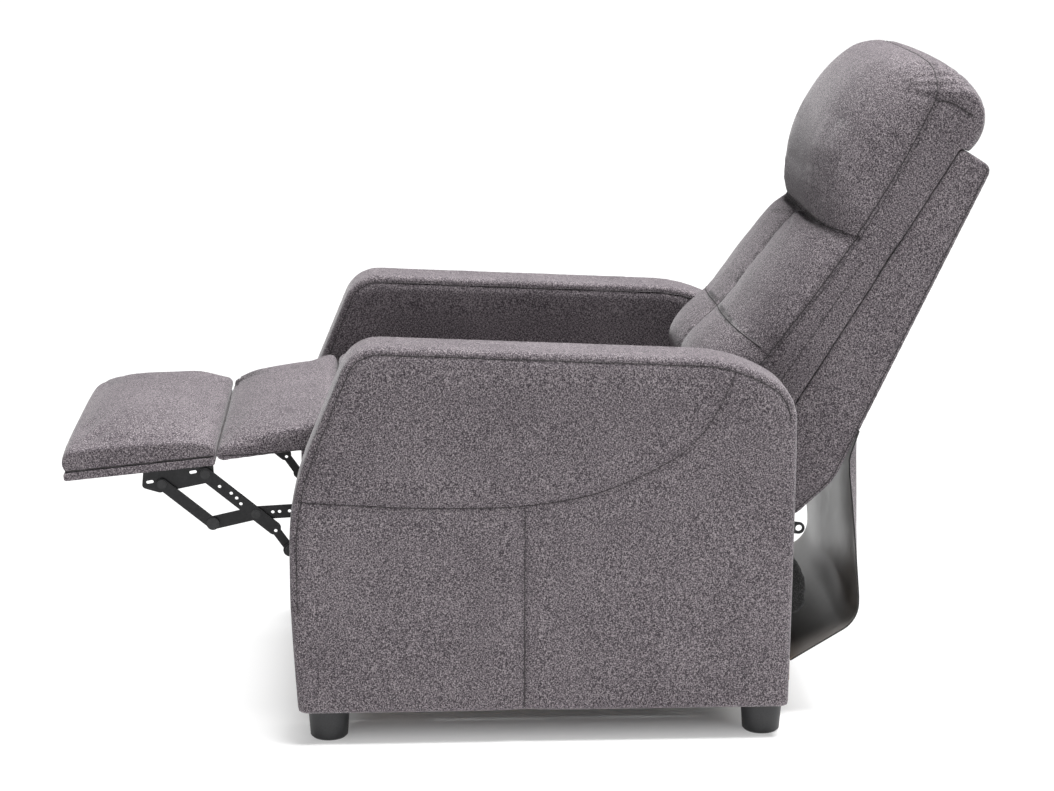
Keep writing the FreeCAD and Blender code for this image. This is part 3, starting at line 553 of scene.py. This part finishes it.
def melange_cloth(name, dark, middle, light):
    """Woven cloth of dark, middle and light yarns, with painted shade along its seams."""
    material, tree, shader = new_material(name)
    yarn = yarn_noise(tree)
    cloudy = combine(tree, "SUBTRACT", plain_noise(tree, 9.0, 3.0), 0.5)
    tone = combine(tree, "ADD", yarn, combine(tree, "MULTIPLY", cloudy, 0.05))
    colour = colour_ramp(tree, tone, (0.415, dark), (0.50, middle), (0.59, light))
    tree.links.new(seam_painted_shade(tree, colour), shader.inputs["Base Color"])
    raise_grain(tree, shader, yarn, 0.25, 0.0006)
    set_inputs(shader, {"Roughness": 0.92, "Specular IOR Level": 0.2,
                        "Sheen Weight": 0.12, "Sheen Roughness": 0.5})
    return material


def speckled(name, dark, light, scale, roughness, metallic=0.0, gloss=0.5):
    """Plain finish with fine uneven colour, gloss and surface."""
    material, tree, shader = new_material(name)
    grain = plain_noise(tree, scale, 4.0, 0.6)
    colour = colour_ramp(tree, grain, (0.3, dark), (0.7, light))
    tree.links.new(colour, shader.inputs["Base Color"])
    uneven = add(tree, "ShaderNodeMapRange")
    set_inputs(uneven, {"To Min": roughness - 0.08, "To Max": roughness + 0.08})
    tree.links.new(grain, uneven.inputs["Value"])
    tree.links.new(uneven.outputs["Result"], shader.inputs["Roughness"])
    raise_grain(tree, shader, grain, 0.3, 0.0002)
    set_inputs(shader, {"Metallic": metallic, "Specular IOR Level": gloss})
    return material


def board_wood(name, stretch):
    """Raw board with grain along the axis that is stretched most."""
    material, tree, shader = new_material(name)
    grain = fleck_noise(tree, stretch)
    colour = colour_ramp(tree, grain, (0.35, (0.30, 0.19, 0.10)), (0.65, (0.52, 0.38, 0.23)))
    tree.links.new(colour, shader.inputs["Base Color"])
    raise_grain(tree, shader, grain, 0.25, 0.0004)
    set_inputs(shader, {"Roughness": 0.75})
    return material


def grey(value):
    return (value, value, value)


CLOTH = melange_cloth("melange_cloth", (0.019, 0.0155, 0.0185), (0.079, 0.067, 0.076),
                      (0.240, 0.2155, 0.225))
LINING = speckled("flap_lining", (0.118, 0.109, 0.102), (0.158, 0.147, 0.139), 60.0, 0.34, gloss=0.9)
BLACK_CLOTH = melange_cloth("black_lining_cloth", grey(0.005), grey(0.012), grey(0.03))
EDGE_TAPE = speckled("black_edge_tape", grey(0.006), grey(0.02), 400.0, 0.6)
# Near-black thread: real thread, and also the painted shade line along the seam grooves
THREAD_WITH_SEAM_SHADE = speckled("dark_thread_and_seam_shade", (0.010, 0.008, 0.009), (0.022, 0.019, 0.020), 900.0, 0.8)
STEEL = speckled("black_painted_steel", (0.006, 0.006, 0.007), (0.014, 0.014, 0.015), 160.0, 0.40,
                 gloss=0.25)
RIVET = speckled("blackened_rivet", (0.009, 0.009, 0.010), (0.020, 0.020, 0.021), 240.0, 0.34,
                 gloss=0.35)
WIRE = speckled("spring_wire", (0.25, 0.25, 0.26), (0.42, 0.42, 0.43), 300.0, 0.38, 1.0)
PLASTIC = speckled("black_plastic", (0.010, 0.010, 0.011), (0.020, 0.020, 0.022), 500.0, 0.5)
WEBBING = melange_cloth("elastic_webbing", grey(0.02), grey(0.04), grey(0.08))
WOOD_ALONG = board_wood("raw_board_along", (140.0, 6.0, 140.0))
WOOD_ACROSS = board_wood("raw_board_across", (6.0, 140.0, 140.0))

FINISHES = {
    "upholstery": CLOTH, "flap_cloth": CLOTH, "black_cloth": BLACK_CLOTH, "webbing": WEBBING,
    "frame_wood": WOOD_ALONG, "black_steel": STEEL, "spring_steel": WIRE, "foot_plastic": PLASTIC,
}
CROSS_BOARDS = ("front_rail", "rear_bottom_rail", "seat_front_rail", "seat_rear_rail")
FASTENERS = ("rivets", "pins", "screws")


def paint_frame():
    """Finishes of the CAD nodes that stay in view."""
    for entry in frame["record"]["subparts"]:
        node = entry["node"]
        finish = FINISHES[entry["material_slot"]]
        if node in CROSS_BOARDS:
            finish = WOOD_ACROSS
        elif node.endswith(FASTENERS):
            finish = RIVET
        mesh = frame["nodes"][node].data
        mesh.materials.clear()
        mesh.materials.append(finish)


# Arms

ARM_CURVE_SEAM = [(2, 372), (149, 363), (236, 361), (334, 364), (440, 383),
                  (541, 428), (585, 466), (613, 508), (634, 556)]
ARM_POST_SEAM = [(331, 360), (331, 200), (331, 56)]
ARM_BOTTOM = 60.0


def above_arm_bottom(point):
    return point.z > ARM_BOTTOM * MM


def make_arm(side, sign):
    """Arm with a boxing band round it, seams along both its edges and a curved seam on the outside."""
    arm = outer_form_of("arm_cover_" + side, "arm_" + side)
    edges = [even_steps(rim(arm, (way, 0, 0), above_arm_bottom)) for way in (-1, 1)]
    even_mesh(arm, smooth=2)
    face = ARM_OUTER * sign / MM
    panel_seams = []
    for stops in (ARM_CURVE_SEAM, ARM_POST_SEAM):
        line = route([side_place(face, *stop) for stop in stops])
        panel_seams.append(drop_on(arm, line, (-sign, 0, 0)))
    puff(arm, edges + panel_seams, height=0.0022, reach=0.030)
    sew(arm, edges, depth=0.0026, width=0.0045, pucker=0.0003)
    sew(arm, panel_seams, depth=0.0016, width=0.0045, pucker=0.0002)
    stitch("arm_seams_" + side, arm, edges + panel_seams, "base")
    finish_pad(arm, "base", "arm_cover_" + side, fill=0.9)


# Seat

ARM_GAP = 0.004
PAD_HALF = ARM_INNER - ARM_GAP
SEAT_SEAM = (62, 520)
SEAT_SEAM_STOPS = (-232, -120, 0, 120, 232)
SEAT_SIDE_HELD = 0.004
SEAT_SEAM_HELD = 0.008
SEAT_REAR_LIFT = 0.014
SEAT_REAR_RUN = 0.22
SEAT_REAR_RISE = 0.17
SEAT_FOAM_RISE = 0.09


def make_seat():
    """Seat cushion, full in the middle, with a seam along its front edge."""
    seat = outer_form_of("seat_cushion", "seat_pad")
    even_mesh(seat)
    front = drop_on(seat, route([side_place(x, *SEAT_SEAM) for x in SEAT_SEAM_STOPS]), (0, 0, -1))
    at_side = np.abs(points_of(seat.data)[:, 0]) > SEAT_HALF - SEAT_SIDE_HELD
    swell(seat, (from_seams(seat, [front]) < SEAT_SEAM_HELD) | at_side, reach=0.014)
    fill_rear(seat)
    raise_end(seat, start=105, stop=60, amount=0.011, reach=-0.003)
    keep_within(seat, PAD_HALF)
    sew(seat, [front], depth=0.003, width=0.007, pucker=0.0004)
    stitch("seat_seams", seat, [front], "seat")
    finish_pad(seat, "seat", "seat_cushion")


def fill_rear(seat):
    """Raises the rear of the seat towards the foot of the back cushion."""
    points = points_of(seat.data)
    run, height = points[:, 1], points[:, 2]
    rear = share_of(run, run.max() - SEAT_REAR_RUN, SEAT_REAR_RISE)
    upward = share_of(height, height.min(), SEAT_FOAM_RISE)
    points[:, 2] += SEAT_REAR_LIFT * ease(rear) * upward
    set_points(seat.data, points)


# Height from which the meeting ends of seat and calf pad are raised, and the height over which that grows
END_TOP = 0.436
END_TOP_RISE = 0.022


def raise_end(piece, start, stop, amount, reach):
    """Raises the upper edge of a pad's end, between two places along the chair, and moves it out."""
    points = points_of(piece.data)
    place = (points[:, 1] - DATUM_Y) / MM
    upper = share_of(points[:, 2], END_TOP, END_TOP_RISE)
    share = ease(share_of(place, start, stop - start)) * upper
    points[:, 1] += reach * share * upper
    points[:, 2] += amount * share
    set_points(piece.data, points)


# Calf pad and footrest

PAD_SEAM_HELD = 0.007
CALF_HINGE_EDGE = 28
PRESS = 0.0042
PRESS_RUN = 0.045
FILL_INSET = 0.034
FILL_WIDTH = 0.036
CREASE_FOLD = 0.0009
CREASE_INSET = 0.006
CREASE_RUN = 0.016
HANG = np.array((0.0, -0.15, -1.0))
HANG_RUN = 0.12


def under_seam(pad, under):
    """Seam round a pad's lower face, from the corners of that face."""
    return snapped(pad, even_steps(under + under[:1]))


def make_calf_pad():
    """Calf pad between seat and footrest, with a seam round its lower edge."""
    pad = outer_form_of("calf_pad", "calf_cushion")
    down = pad_normal(pad)
    forward = Vector((0, down.z, -down.y))
    under = rim(pad, down)
    even_mesh(pad, PAD_VOXEL)
    seam = under_seam(pad, under)
    at_hinge = points_of(pad.data)[:, 1] > side_place(0, CALF_HINGE_EDGE, 0).y
    swell(pad, (from_seams(pad, [seam]) < PAD_SEAM_HELD) | at_hinge, reach=0.014)
    keep_within(pad, PAD_HALF)
    raise_end(pad, start=2, stop=44, amount=0.010, reach=0.0025)
    press_towards(pad, forward, down, lift=0.006)
    hang_edge(pad, forward, down, amount=0.007)
    crease_folds(pad, forward)
    seam = snapped(pad, seam)
    sew(pad, [seam], depth=0.0015, width=0.005, pucker=0.0004)
    stitch("calf_seams", pad, [seam], "calf_pad")
    finish_pad(pad, "calf_pad", "calf_pad")


def pad_normal(pad):
    """Outward direction of the pad's largest lower face."""
    faces = [face for face in pad.data.polygons if face.normal.z < -0.9]
    return max(faces, key=lambda face: face.area).normal.copy()


def press_towards(piece, end, under, lift):
    """Rounds a pad's end out towards the pad that it presses against, and fills the top beside it."""
    points = points_of(piece.data)
    run = points @ np.array(end)
    height = -(points @ np.array(under))
    inset = run.max() - run
    near_end = np.clip(1 - inset / PRESS_RUN, 0.0, 1.0) ** 2
    share = (height - height.min()) / np.ptp(height)
    bulge = 0.25 + 0.75 * np.sin(share * math.pi * 0.95)
    full = np.exp(-((inset - FILL_INSET) / FILL_WIDTH) ** 2) * share ** 2
    points += np.array(end) * (PRESS * near_end * bulge)[:, None]
    points -= np.array(under) * (lift * full)[:, None]
    set_points(piece.data, points)


def hang_edge(piece, end, under, amount):
    """Lowers the under edge of a pad towards one end, where its wadding hangs."""
    points = points_of(piece.data)
    run = points @ np.array(end)
    depth = points @ np.array(under)
    near_end = np.clip(1 - (run.max() - run) / HANG_RUN, 0.0, 1.0)
    share = (depth - depth.min()) / np.ptp(depth)
    set_points(piece.data, points + HANG * (amount * near_end * share)[:, None])


def crease_folds(piece, end):
    """Small folds across the top of a pad, where it is pressed at its end."""
    points = points_of(piece.data)
    run = points @ np.array(end)
    near_end = np.exp(-np.maximum(run.max() - CREASE_INSET - run, 0.0) / CREASE_RUN)
    across = points[:, 0]
    wave = np.sin(across * 520.0 + 2.0 * np.sin(across * 61.0)) * (0.6 + 0.4 * np.sin(across * 37.0))
    upward = np.clip(normals_of(piece.data)[:, 2], 0.0, 1.0)
    push_out(piece, CREASE_FOLD * near_end * wave * upward)


def make_footrest():
    """Footrest pad, full towards its front."""
    pad = outer_form_of("footrest_pad", "footrest_cushion")
    down = pad_normal(pad)
    backward = Vector((0, -down.z, down.y))
    under = rim(pad, down)
    even_mesh(pad, PAD_VOXEL)
    seam = under_seam(pad, under)
    swell(pad, from_seams(pad, [seam]) < PAD_SEAM_HELD, reach=0.020, pressure=6.0, only=-down)
    press_towards(pad, backward, down, lift=0.010)
    crease_folds(pad, backward)
    seam = snapped(pad, seam)
    sew(pad, [seam], depth=0.001, width=0.004, pucker=0.0004)
    stitch("footrest_seams", pad, [seam], "footrest", radius=0.0012)
    finish_pad(pad, "footrest", "footrest_pad")


def make_footrest_base():
    """Board under the footrest pad, covered with the same cloth."""
    board = outer_form_of("footrest_board", "footrest_base")
    bevel = board.modifiers.new("edges", "BEVEL")
    bevel.width = 0.003
    bevel.segments = 3
    bevel.limit_method = "ANGLE"
    apply_modifier(board, bevel)
    cover(board, CLOTH, "upholstery", "footrest", "footrest_board")


# Back cushion

CROSS_SEAM = 44.0
CROSS_STOPS = (-226, -110, 0, 110, 226)
UPRIGHT_STOPS = (-70, CROSS_SEAM, 140, 225)
SEAM_FRONT = 100.0
CUSHION_CREASE = 240.0
CREASE = [(236, 259, 60), (222, 252, 72), (180, 245, 84), (90, 241, 92)]
CROWN_SEAM = [(236, 486, 72), (234, 498, 77), (225, 512, 84), (200, 524, 92),
              (150, 532, 101), (80, 533, 108)]
BOXING_SEAM = [(-60, 88), (17, 80), (147, 66), (260, 61), (373, 62), (408, 64), (486, 72)]
BOXING_TOP_SEAM = [(486, 72), (493, 57), (496, 40), (495, 12)]
BOXING_TOPSTITCH = [(-50, 42), (60, 37), (147, 34), (230, 32)]
BESIDE_SEAM = 5.0
SHELL_GAP = 0.0015
BACK_HELD = 0.006
SEAM_EASE = 0.030
LUMBAR_SWELL = 0.005
PILLOW_SWELL = 0.002
LEAST_SWELL = 1e-5
CROWN_FOLDS_FROM = 0.17
CREASE_ENDS_FROM = 0.15
FRONT_FROM = 35.0
FRONT_RISE = 60.0

# Wadding in front of the loft, by the place along the back
FULLNESS = [(-90, 4), (-62, 22), (-45, 22), (-10, 15), (15, 12), (44, 17), (70, 12), (90, 8),
            (160, 4), (225, 9), (256, 0), (300, -7), (400, -7), (530, 0)]


def make_back_cushion():
    """Back cushion: lumbar part with a cross of seams, head pillow, and a side band round both."""
    cushion = copy_of("lumbar_cushion", "back_cushion")
    join(cushion, copy_of("head_pillow", "pillow_form"), make_bridge())
    even_mesh(cushion)
    fill_out(cushion)
    upright, across = laid_on_front(cushion, *cross_of_seams())
    soften_folds(cushion, across)
    upright, across = laid_on_front(cushion, upright, across)
    swell_back(cushion, [upright, across])
    keep_within(cushion, BACK_HALF - SHELL_GAP)
    upright, across = laid_on_front(cushion, upright, across)
    sew(cushion, [upright], depth=0.0022, width=0.007, pucker=0.0006, fold=0.024)
    sew(cushion, [across], depth=0.0004, width=0.0045, pucker=0.0003, fold=0.024)
    bands, topstitches = side_band_seams(cushion)
    crown = snapped(cushion, across_back(CROWN_SEAM))
    crease = drop_on(cushion, across_back(CREASE), BACK_INWARD)
    sew(cushion, [crease], depth=0.0045, width=0.0045, pucker=0.0009, fold=0.019)
    sew(cushion, bands + [crown], depth=0.0020, width=0.005, pucker=0.0005, fold=0.021)
    corners = side_ends(crown, CROWN_FOLDS_FROM)
    sew(cushion, corners, depth=0.0, width=0.012, pucker=0.0034, fold=0.018)
    sew(cushion, topstitches, depth=0.0005, width=0.003)
    seams = [upright, across, crown, crease] + bands
    stitch("back_cushion_seams", cushion, seams, "backrest", radius=0.0008)
    stitch("back_cushion_topstitch", cushion, topstitches, "backrest", radius=0.0004)
    finish_pad(cushion, "backrest", "lumbar_cushion", "head_pillow")


def cross_of_seams():
    """Upright and cross seam of the lumbar part, in front of it."""
    upright = route([back_place(0, along, SEAM_FRONT) for along in UPRIGHT_STOPS])
    across = route([back_place(x, CROSS_SEAM, SEAM_FRONT) for x in CROSS_STOPS])
    return upright, across


def laid_on_front(cushion, *lines):
    return [drop_on(cushion, line, BACK_INWARD) for line in lines]


def fill_out(cushion):
    """Moves the front of the cushion by the wadding under it, and not its side bands."""
    points = points_of(cushion.data)
    along, forward = in_back_axes(points)
    places, amounts = zip(*FULLNESS)
    move = np.interp(along / MM, places, amounts) * MM
    front = share_of(forward / MM, FRONT_FROM, FRONT_RISE)
    middle = np.clip(1 - (np.abs(points[:, 0]) / BACK_HALF) ** 8, 0.0, 1.0)
    set_points(cushion.data, points + np.array(BACK_FORWARD) * (move * front * middle)[:, None])


def soften_folds(cushion, across):
    """Opens the loft's sharp folds at the cross seam and at the ends of the crease."""
    folds = drop_on(cushion, across_back(CREASE), BACK_INWARD)
    relax_near(cushion, [across], reach=0.020, rounds=60)
    relax_near(cushion, side_ends(folds, CREASE_ENDS_FROM), reach=0.022, rounds=40)
    even_mesh(cushion, smooth=2)


def swell_back(cushion, seams):
    """Swells the lumbar part more than the pillow, and both less beside their seams."""
    points = points_of(cushion.data)
    along, forward = in_back_axes(points)
    drawn = from_seams(cushion, seams)
    at_side = np.abs(points[:, 0]) > BACK_HALF - BACK_HELD
    held = (drawn < BACK_HELD) | (forward < BACK_HELD) | at_side
    away = 1 - np.exp(-(drawn / SEAM_EASE) ** 2)
    full = np.where(along < CUSHION_CREASE * MM, LUMBAR_SWELL, PILLOW_SWELL)
    swell(cushion, held, reach=full * away + LEAST_SWELL)


def side_band_seams(cushion):
    """Seams along the side bands, and the topstitches beside them."""
    half = BACK_HALF / MM
    beside = [(along, forward - BESIDE_SEAM) for along, forward in BOXING_SEAM]
    bands, topstitches = [], []
    for sign in (-1, 1):
        for stops, kept in ((BOXING_SEAM, bands), (BOXING_TOP_SEAM, bands),
                            (BOXING_TOPSTITCH, topstitches), (beside, topstitches)):
            kept.append(snapped(cushion, route([back_place(sign * half, *stop) for stop in stops])))
    return bands, topstitches


def across_back(stops):
    """Line across the back through stops given for its near half, the same on both sides."""
    far = [back_place(-x, along, forward) for x, along, forward in stops]
    near = [back_place(x, along, forward) for x, along, forward in reversed(stops)]
    return route(far + near)


CORE_FOOT = (196.0, 2.0)
CORE_TOP = (290.0, 88.0)
CORE_INSET = 0.002
CORE_BEVEL = 0.055


def make_bridge():
    """Core that joins the lumbar part and the pillow behind the crease between them."""
    deselect()
    bpy.ops.mesh.primitive_cube_add(size=1.0)
    bridge = bpy.context.object
    low, high = back_place(0, *CORE_FOOT), back_place(0, *CORE_TOP)
    turn = Matrix((Vector((1, 0, 0)), BACK_FORWARD, BACK_ALONG)).transposed().to_4x4()
    height, depth = ((top - foot) * MM for top, foot in zip(CORE_TOP, CORE_FOOT))
    size = Matrix.Diagonal((2 * (BACK_HALF - CORE_INSET), depth, height, 1.0))
    bridge.data.transform(Matrix.Translation((low + high) / 2) @ turn @ size)
    round_front_corners(bridge.data, BACK_FORWARD.dot(high) - 0.001)
    return bridge


def round_front_corners(mesh, front):
    """Bevels the two upright corners of the core's front."""
    bm = bmesh.new()
    bm.from_mesh(mesh)
    corners = [edge for edge in bm.edges if all(BACK_FORWARD.dot(v.co) > front for v in edge.verts)
               and abs(edge.verts[0].co.x - edge.verts[1].co.x) < 0.001]
    bmesh.ops.bevel(bm, geom=corners, offset=CORE_BEVEL, segments=5, affect="EDGES", profile=0.5)
    bm.to_mesh(mesh)
    bm.free()


# Back shell

SHELL_EDGE = -0.026


def behind_groove(point):
    return (point - back_place(0, 0, 0)).dot(BACK_FORWARD) < SHELL_EDGE


def make_back_shell():
    """Outer shell of the back, tightly covered, with a seam along the edge of its rear panel."""
    shell = outer_form_of("back_shell", "back_cover")
    edges = [even_steps(rim(shell, (way, 0, 0), behind_groove)) for way in (-1, 1)]
    even_mesh(shell, smooth=1)
    lines = [snapped(shell, edge) for edge in edges]
    sew(shell, lines, depth=0.0014, width=0.004, pucker=0.0003)
    stitch("back_cover_seams", shell, lines, "backrest")
    finish_pad(shell, "backrest", "back_shell", fill=0.95)


# Rear flap

FLAP_TOP = (837.0, 446.0)
FLAP_BELLY = (846.5, 150.0)
FLAP_FOOT = (743.0, 87.5)
FLAP_BEND = 46.0
FLAP_HALF_WIDTH = 237.0
FLAP_THICKNESS = 2.4
FLAP_RIPPLE = 2.2
FLAP_CURL = 15.0
FLAP_CURL_FROM = 0.86
CURL_FOOT = 190.0
CURL_RISE = 190.0
CURL_FALL = 40.0
FLAP_COLUMNS = 40
FOOT_ROWS = 6
BEND_ROWS = 8
HANG_ROWS = 24


def flap_line():
    """Side line of the hanging flap, from its foot round the bend and up to the shell."""
    foot, belly, top = (Vector(place) for place in (FLAP_FOOT, FLAP_BELLY, FLAP_TOP))
    to_foot, to_top = (foot - belly).normalized(), (top - belly).normalized()
    half = to_foot.angle(to_top) / 2
    reach = FLAP_BEND / math.tan(half)
    centre = belly + (to_foot + to_top).normalized() * FLAP_BEND / math.sin(half)
    first, last = belly + to_foot * reach, belly + to_top * reach
    start = math.atan2(*(first - centre).yx)
    turn = math.atan2(*(last - centre).yx) - start
    angles = [start + turn * k / BEND_ROWS for k in range(BEND_ROWS + 1)]
    arc = [centre + FLAP_BEND * Vector((math.cos(angle), math.sin(angle))) for angle in angles]
    lower = [foot.lerp(first, k / FOOT_ROWS) for k in range(FOOT_ROWS)]
    upper = [last.lerp(top, k / HANG_ROWS) for k in range(1, HANG_ROWS + 1)]
    return lower + arc + upper


def curl_share(height):
    """How much the flap's side edges curl forward at a height: most below the shell, not at the bend."""
    rise = min(max((height - CURL_FOOT) / CURL_RISE, 0.0), 1.0)
    fall = min(max((FLAP_TOP[1] - height) / CURL_FALL, 0.0), 1.0)
    return rise * fall


def hang_flap(mesh, line):
    """Lays a grid's rows along the side line, with soft ripples and curled side edges."""
    for vertex in mesh.vertices:
        row, column = divmod(vertex.index, FLAP_COLUMNS + 1)
        share = column / FLAP_COLUMNS * 2 - 1
        height = row / (len(line) - 1)
        y, z = line[row]
        ripple = FLAP_RIPPLE * math.sin(share * 5.0 + height * 3.0) * math.sin(math.pi * height)
        edge = max(abs(share) - FLAP_CURL_FROM, 0.0) / (1 - FLAP_CURL_FROM)
        curl = FLAP_CURL * edge ** 2 * curl_share(z)
        vertex.co = side_place(share * FLAP_HALF_WIDTH, y + ripple - curl, z)


def make_flap():
    """Cloth sheet behind the mechanism: woven outside, smooth dark lining inside, taped edges."""
    line = flap_line()
    deselect()
    bpy.ops.mesh.primitive_grid_add(x_subdivisions=FLAP_COLUMNS, y_subdivisions=len(line) - 1, size=1.0)
    flap = bpy.context.object
    flap.name = "flap_sheet"
    hang_flap(flap.data, line)
    thick = flap.modifiers.new("thickness", "SOLIDIFY")
    thick.thickness = FLAP_THICKNESS * MM
    thick.offset = 0.0
    thick.material_offset = 1
    thick.material_offset_rim = 2
    for material in (LINING, CLOTH, EDGE_TAPE):
        flap.data.materials.append(material)
    apply_modifier(flap, thick)
    bpy.ops.object.shade_smooth_by_angle(angle=math.radians(40))
    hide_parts("rear_flap")
    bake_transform(flap)


# Rear rail

RAIL_VOXEL = 0.006
RAIL_FOLD = 0.0016


def make_rear_rail():
    """Rear cross rail wrapped in black lining cloth, with loose folds along it."""
    rail = outer_form_of("rear_cross_rail", "wrapped_rail")
    even_mesh(rail, RAIL_VOXEL, 2)
    points = points_of(rail.data)
    across, height = points[:, 0], points[:, 2]
    fold = np.sin(across * 70.0 + np.sin(height * 120.0) * 1.5) * np.sin(height * 95.0)
    push_out(rail, RAIL_FOLD * fold)
    cover(rail, BLACK_CLOTH, "black_cloth", "base", "rear_cross_rail")


# Camera, light and floor

def make_camera():
    data = bpy.data.cameras.new("photo_camera")
    data.sensor_fit = "HORIZONTAL"
    data.lens = FOCAL_PIXELS * data.sensor_width / IMAGE_WIDTH
    camera = bpy.data.objects.new("photo_camera", data)
    bpy.context.scene.collection.objects.link(camera)
    flat = math.cos(CAMERA_PITCH)
    ahead = Vector((-math.cos(CAMERA_YAW) * flat, math.sin(CAMERA_YAW) * flat, -math.sin(CAMERA_PITCH)))
    right = ahead.cross(Vector((0, 0, 1))).normalized()
    up = right.cross(ahead)
    tilt_right = right * math.cos(CAMERA_ROLL) + up * math.sin(CAMERA_ROLL)
    tilt_up = up * math.cos(CAMERA_ROLL) - right * math.sin(CAMERA_ROLL)
    turn = Matrix((tilt_right, tilt_up, -ahead)).transposed().to_4x4()
    camera.matrix_world = Matrix.Translation(side_place(*CAMERA_PLACE)) @ turn
    bpy.context.scene.camera = camera


def make_lamp(name, place, target, size, power):
    data = bpy.data.lights.new(name, "AREA")
    data.shape = "RECTANGLE"
    data.size, data.size_y = size
    data.energy = power
    lamp = bpy.data.objects.new(name, data)
    bpy.context.scene.collection.objects.link(lamp)
    lamp.location = place
    lamp.rotation_euler = (Vector(target) - Vector(place)).to_track_quat("-Z", "Y").to_euler()


WHITE = (1.0, 1.0, 1.0, 1.0)
ROOM_LIGHT = 0.14
FLOOR_FADE = 0.12
CHAIR_HALF_LENGTH = 0.36
FLOOR_SIZE = 40.0
FLOOR_GLOW = 1.1
UNDER_CHAIR = 0.02
BESIDE_CHAIR = 0.93


def seen_directly(tree):
    """1 for camera, glossy and transmission rays, 0 for the rays that light the chair."""
    rays = add(tree, "ShaderNodeLightPath")
    seen = combine(tree, "MAXIMUM", rays.outputs["Is Camera Ray"], rays.outputs["Is Glossy Ray"])
    return combine(tree, "MAXIMUM", seen, rays.outputs["Is Transmission Ray"])


def mix_shaders(tree, factor, first, second, output):
    mix = add(tree, "ShaderNodeMixShader")
    tree.links.new(factor, mix.inputs["Fac"])
    tree.links.new(first, mix.inputs[1])
    tree.links.new(second, mix.inputs[2])
    tree.links.new(mix.outputs["Shader"], tree.nodes[output].inputs["Surface"])


def make_world():
    """White to look at, and a weak even light for the chair."""
    world = bpy.data.worlds.new("studio")
    bpy.context.scene.world = world
    world.use_nodes = True
    tree = world.node_tree
    light = tree.nodes["Background"]
    set_inputs(light, {"Color": WHITE, "Strength": ROOM_LIGHT})
    white = add(tree, "ShaderNodeBackground", Color=WHITE, Strength=1.0)
    mix_shaders(tree, seen_directly(tree), light.outputs["Background"], white.outputs["Background"],
                "World Output")


def away_from_chair(tree):
    """Share of white on the floor: little under the chair, most outside its footprint."""
    axes = add(tree, "ShaderNodeSeparateXYZ")
    tree.links.new(object_place(tree), axes.inputs["Vector"])
    front, rear = (corner[1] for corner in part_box("arm_cover_left"))
    from_middle = combine(tree, "SUBTRACT", axes.outputs["Y"], (front + rear) / 2)
    outside_x = combine(tree, "SUBTRACT", combine(tree, "ABSOLUTE", axes.outputs["X"], 0.0), ARM_OUTER)
    outside_y = combine(tree, "SUBTRACT", combine(tree, "ABSOLUTE", from_middle, 0.0), CHAIR_HALF_LENGTH)
    fade = add(tree, "ShaderNodeMapRange", interpolation_type="SMOOTHSTEP")
    set_inputs(fade, {"From Min": -FLOOR_FADE, "From Max": FLOOR_FADE,
                      "To Min": UNDER_CHAIR, "To Max": BESIDE_CHAIR})
    tree.links.new(combine(tree, "MAXIMUM", outside_x, outside_y), fade.inputs["Value"])
    return fade.outputs["Result"]


def make_floor():
    """White floor that takes a soft shadow under the chair."""
    deselect()
    bpy.ops.mesh.primitive_plane_add(size=FLOOR_SIZE)
    floor = bpy.context.object
    floor.name = "studio_floor"
    material, tree, shader = new_material("pale_floor")
    set_inputs(shader, {"Base Color": (0.95, 0.95, 0.95, 1.0), "Roughness": 0.9})
    glow = add(tree, "ShaderNodeEmission", Strength=FLOOR_GLOW)
    factor = combine(tree, "MULTIPLY", seen_directly(tree), away_from_chair(tree))
    mix_shaders(tree, factor, shader.outputs["BSDF"], glow.outputs["Emission"], "Material Output")
    floor.data.materials.append(material)


def make_studio():
    make_world()
    make_floor()
    make_lamp("top_softbox", place=(0.2, 1.9, 9.0), target=(0.0, -0.1, 0.4), size=(4.2, 4.2),
              power=2380.0)
    make_lamp("side_softbox", place=(3.6, -0.4, 0.55), target=(0.0, 0.0, 0.45), size=(3.0, 0.9),
              power=13.0)
    bpy.context.scene.view_settings.view_transform = "Standard"


paint_frame()
make_arm("left", 1)
make_arm("right", -1)
make_seat()
make_calf_pad()
make_footrest()
make_footrest_base()
make_back_shell()
make_back_cushion()
make_flap()
make_rear_rail()
make_camera()
make_studio()
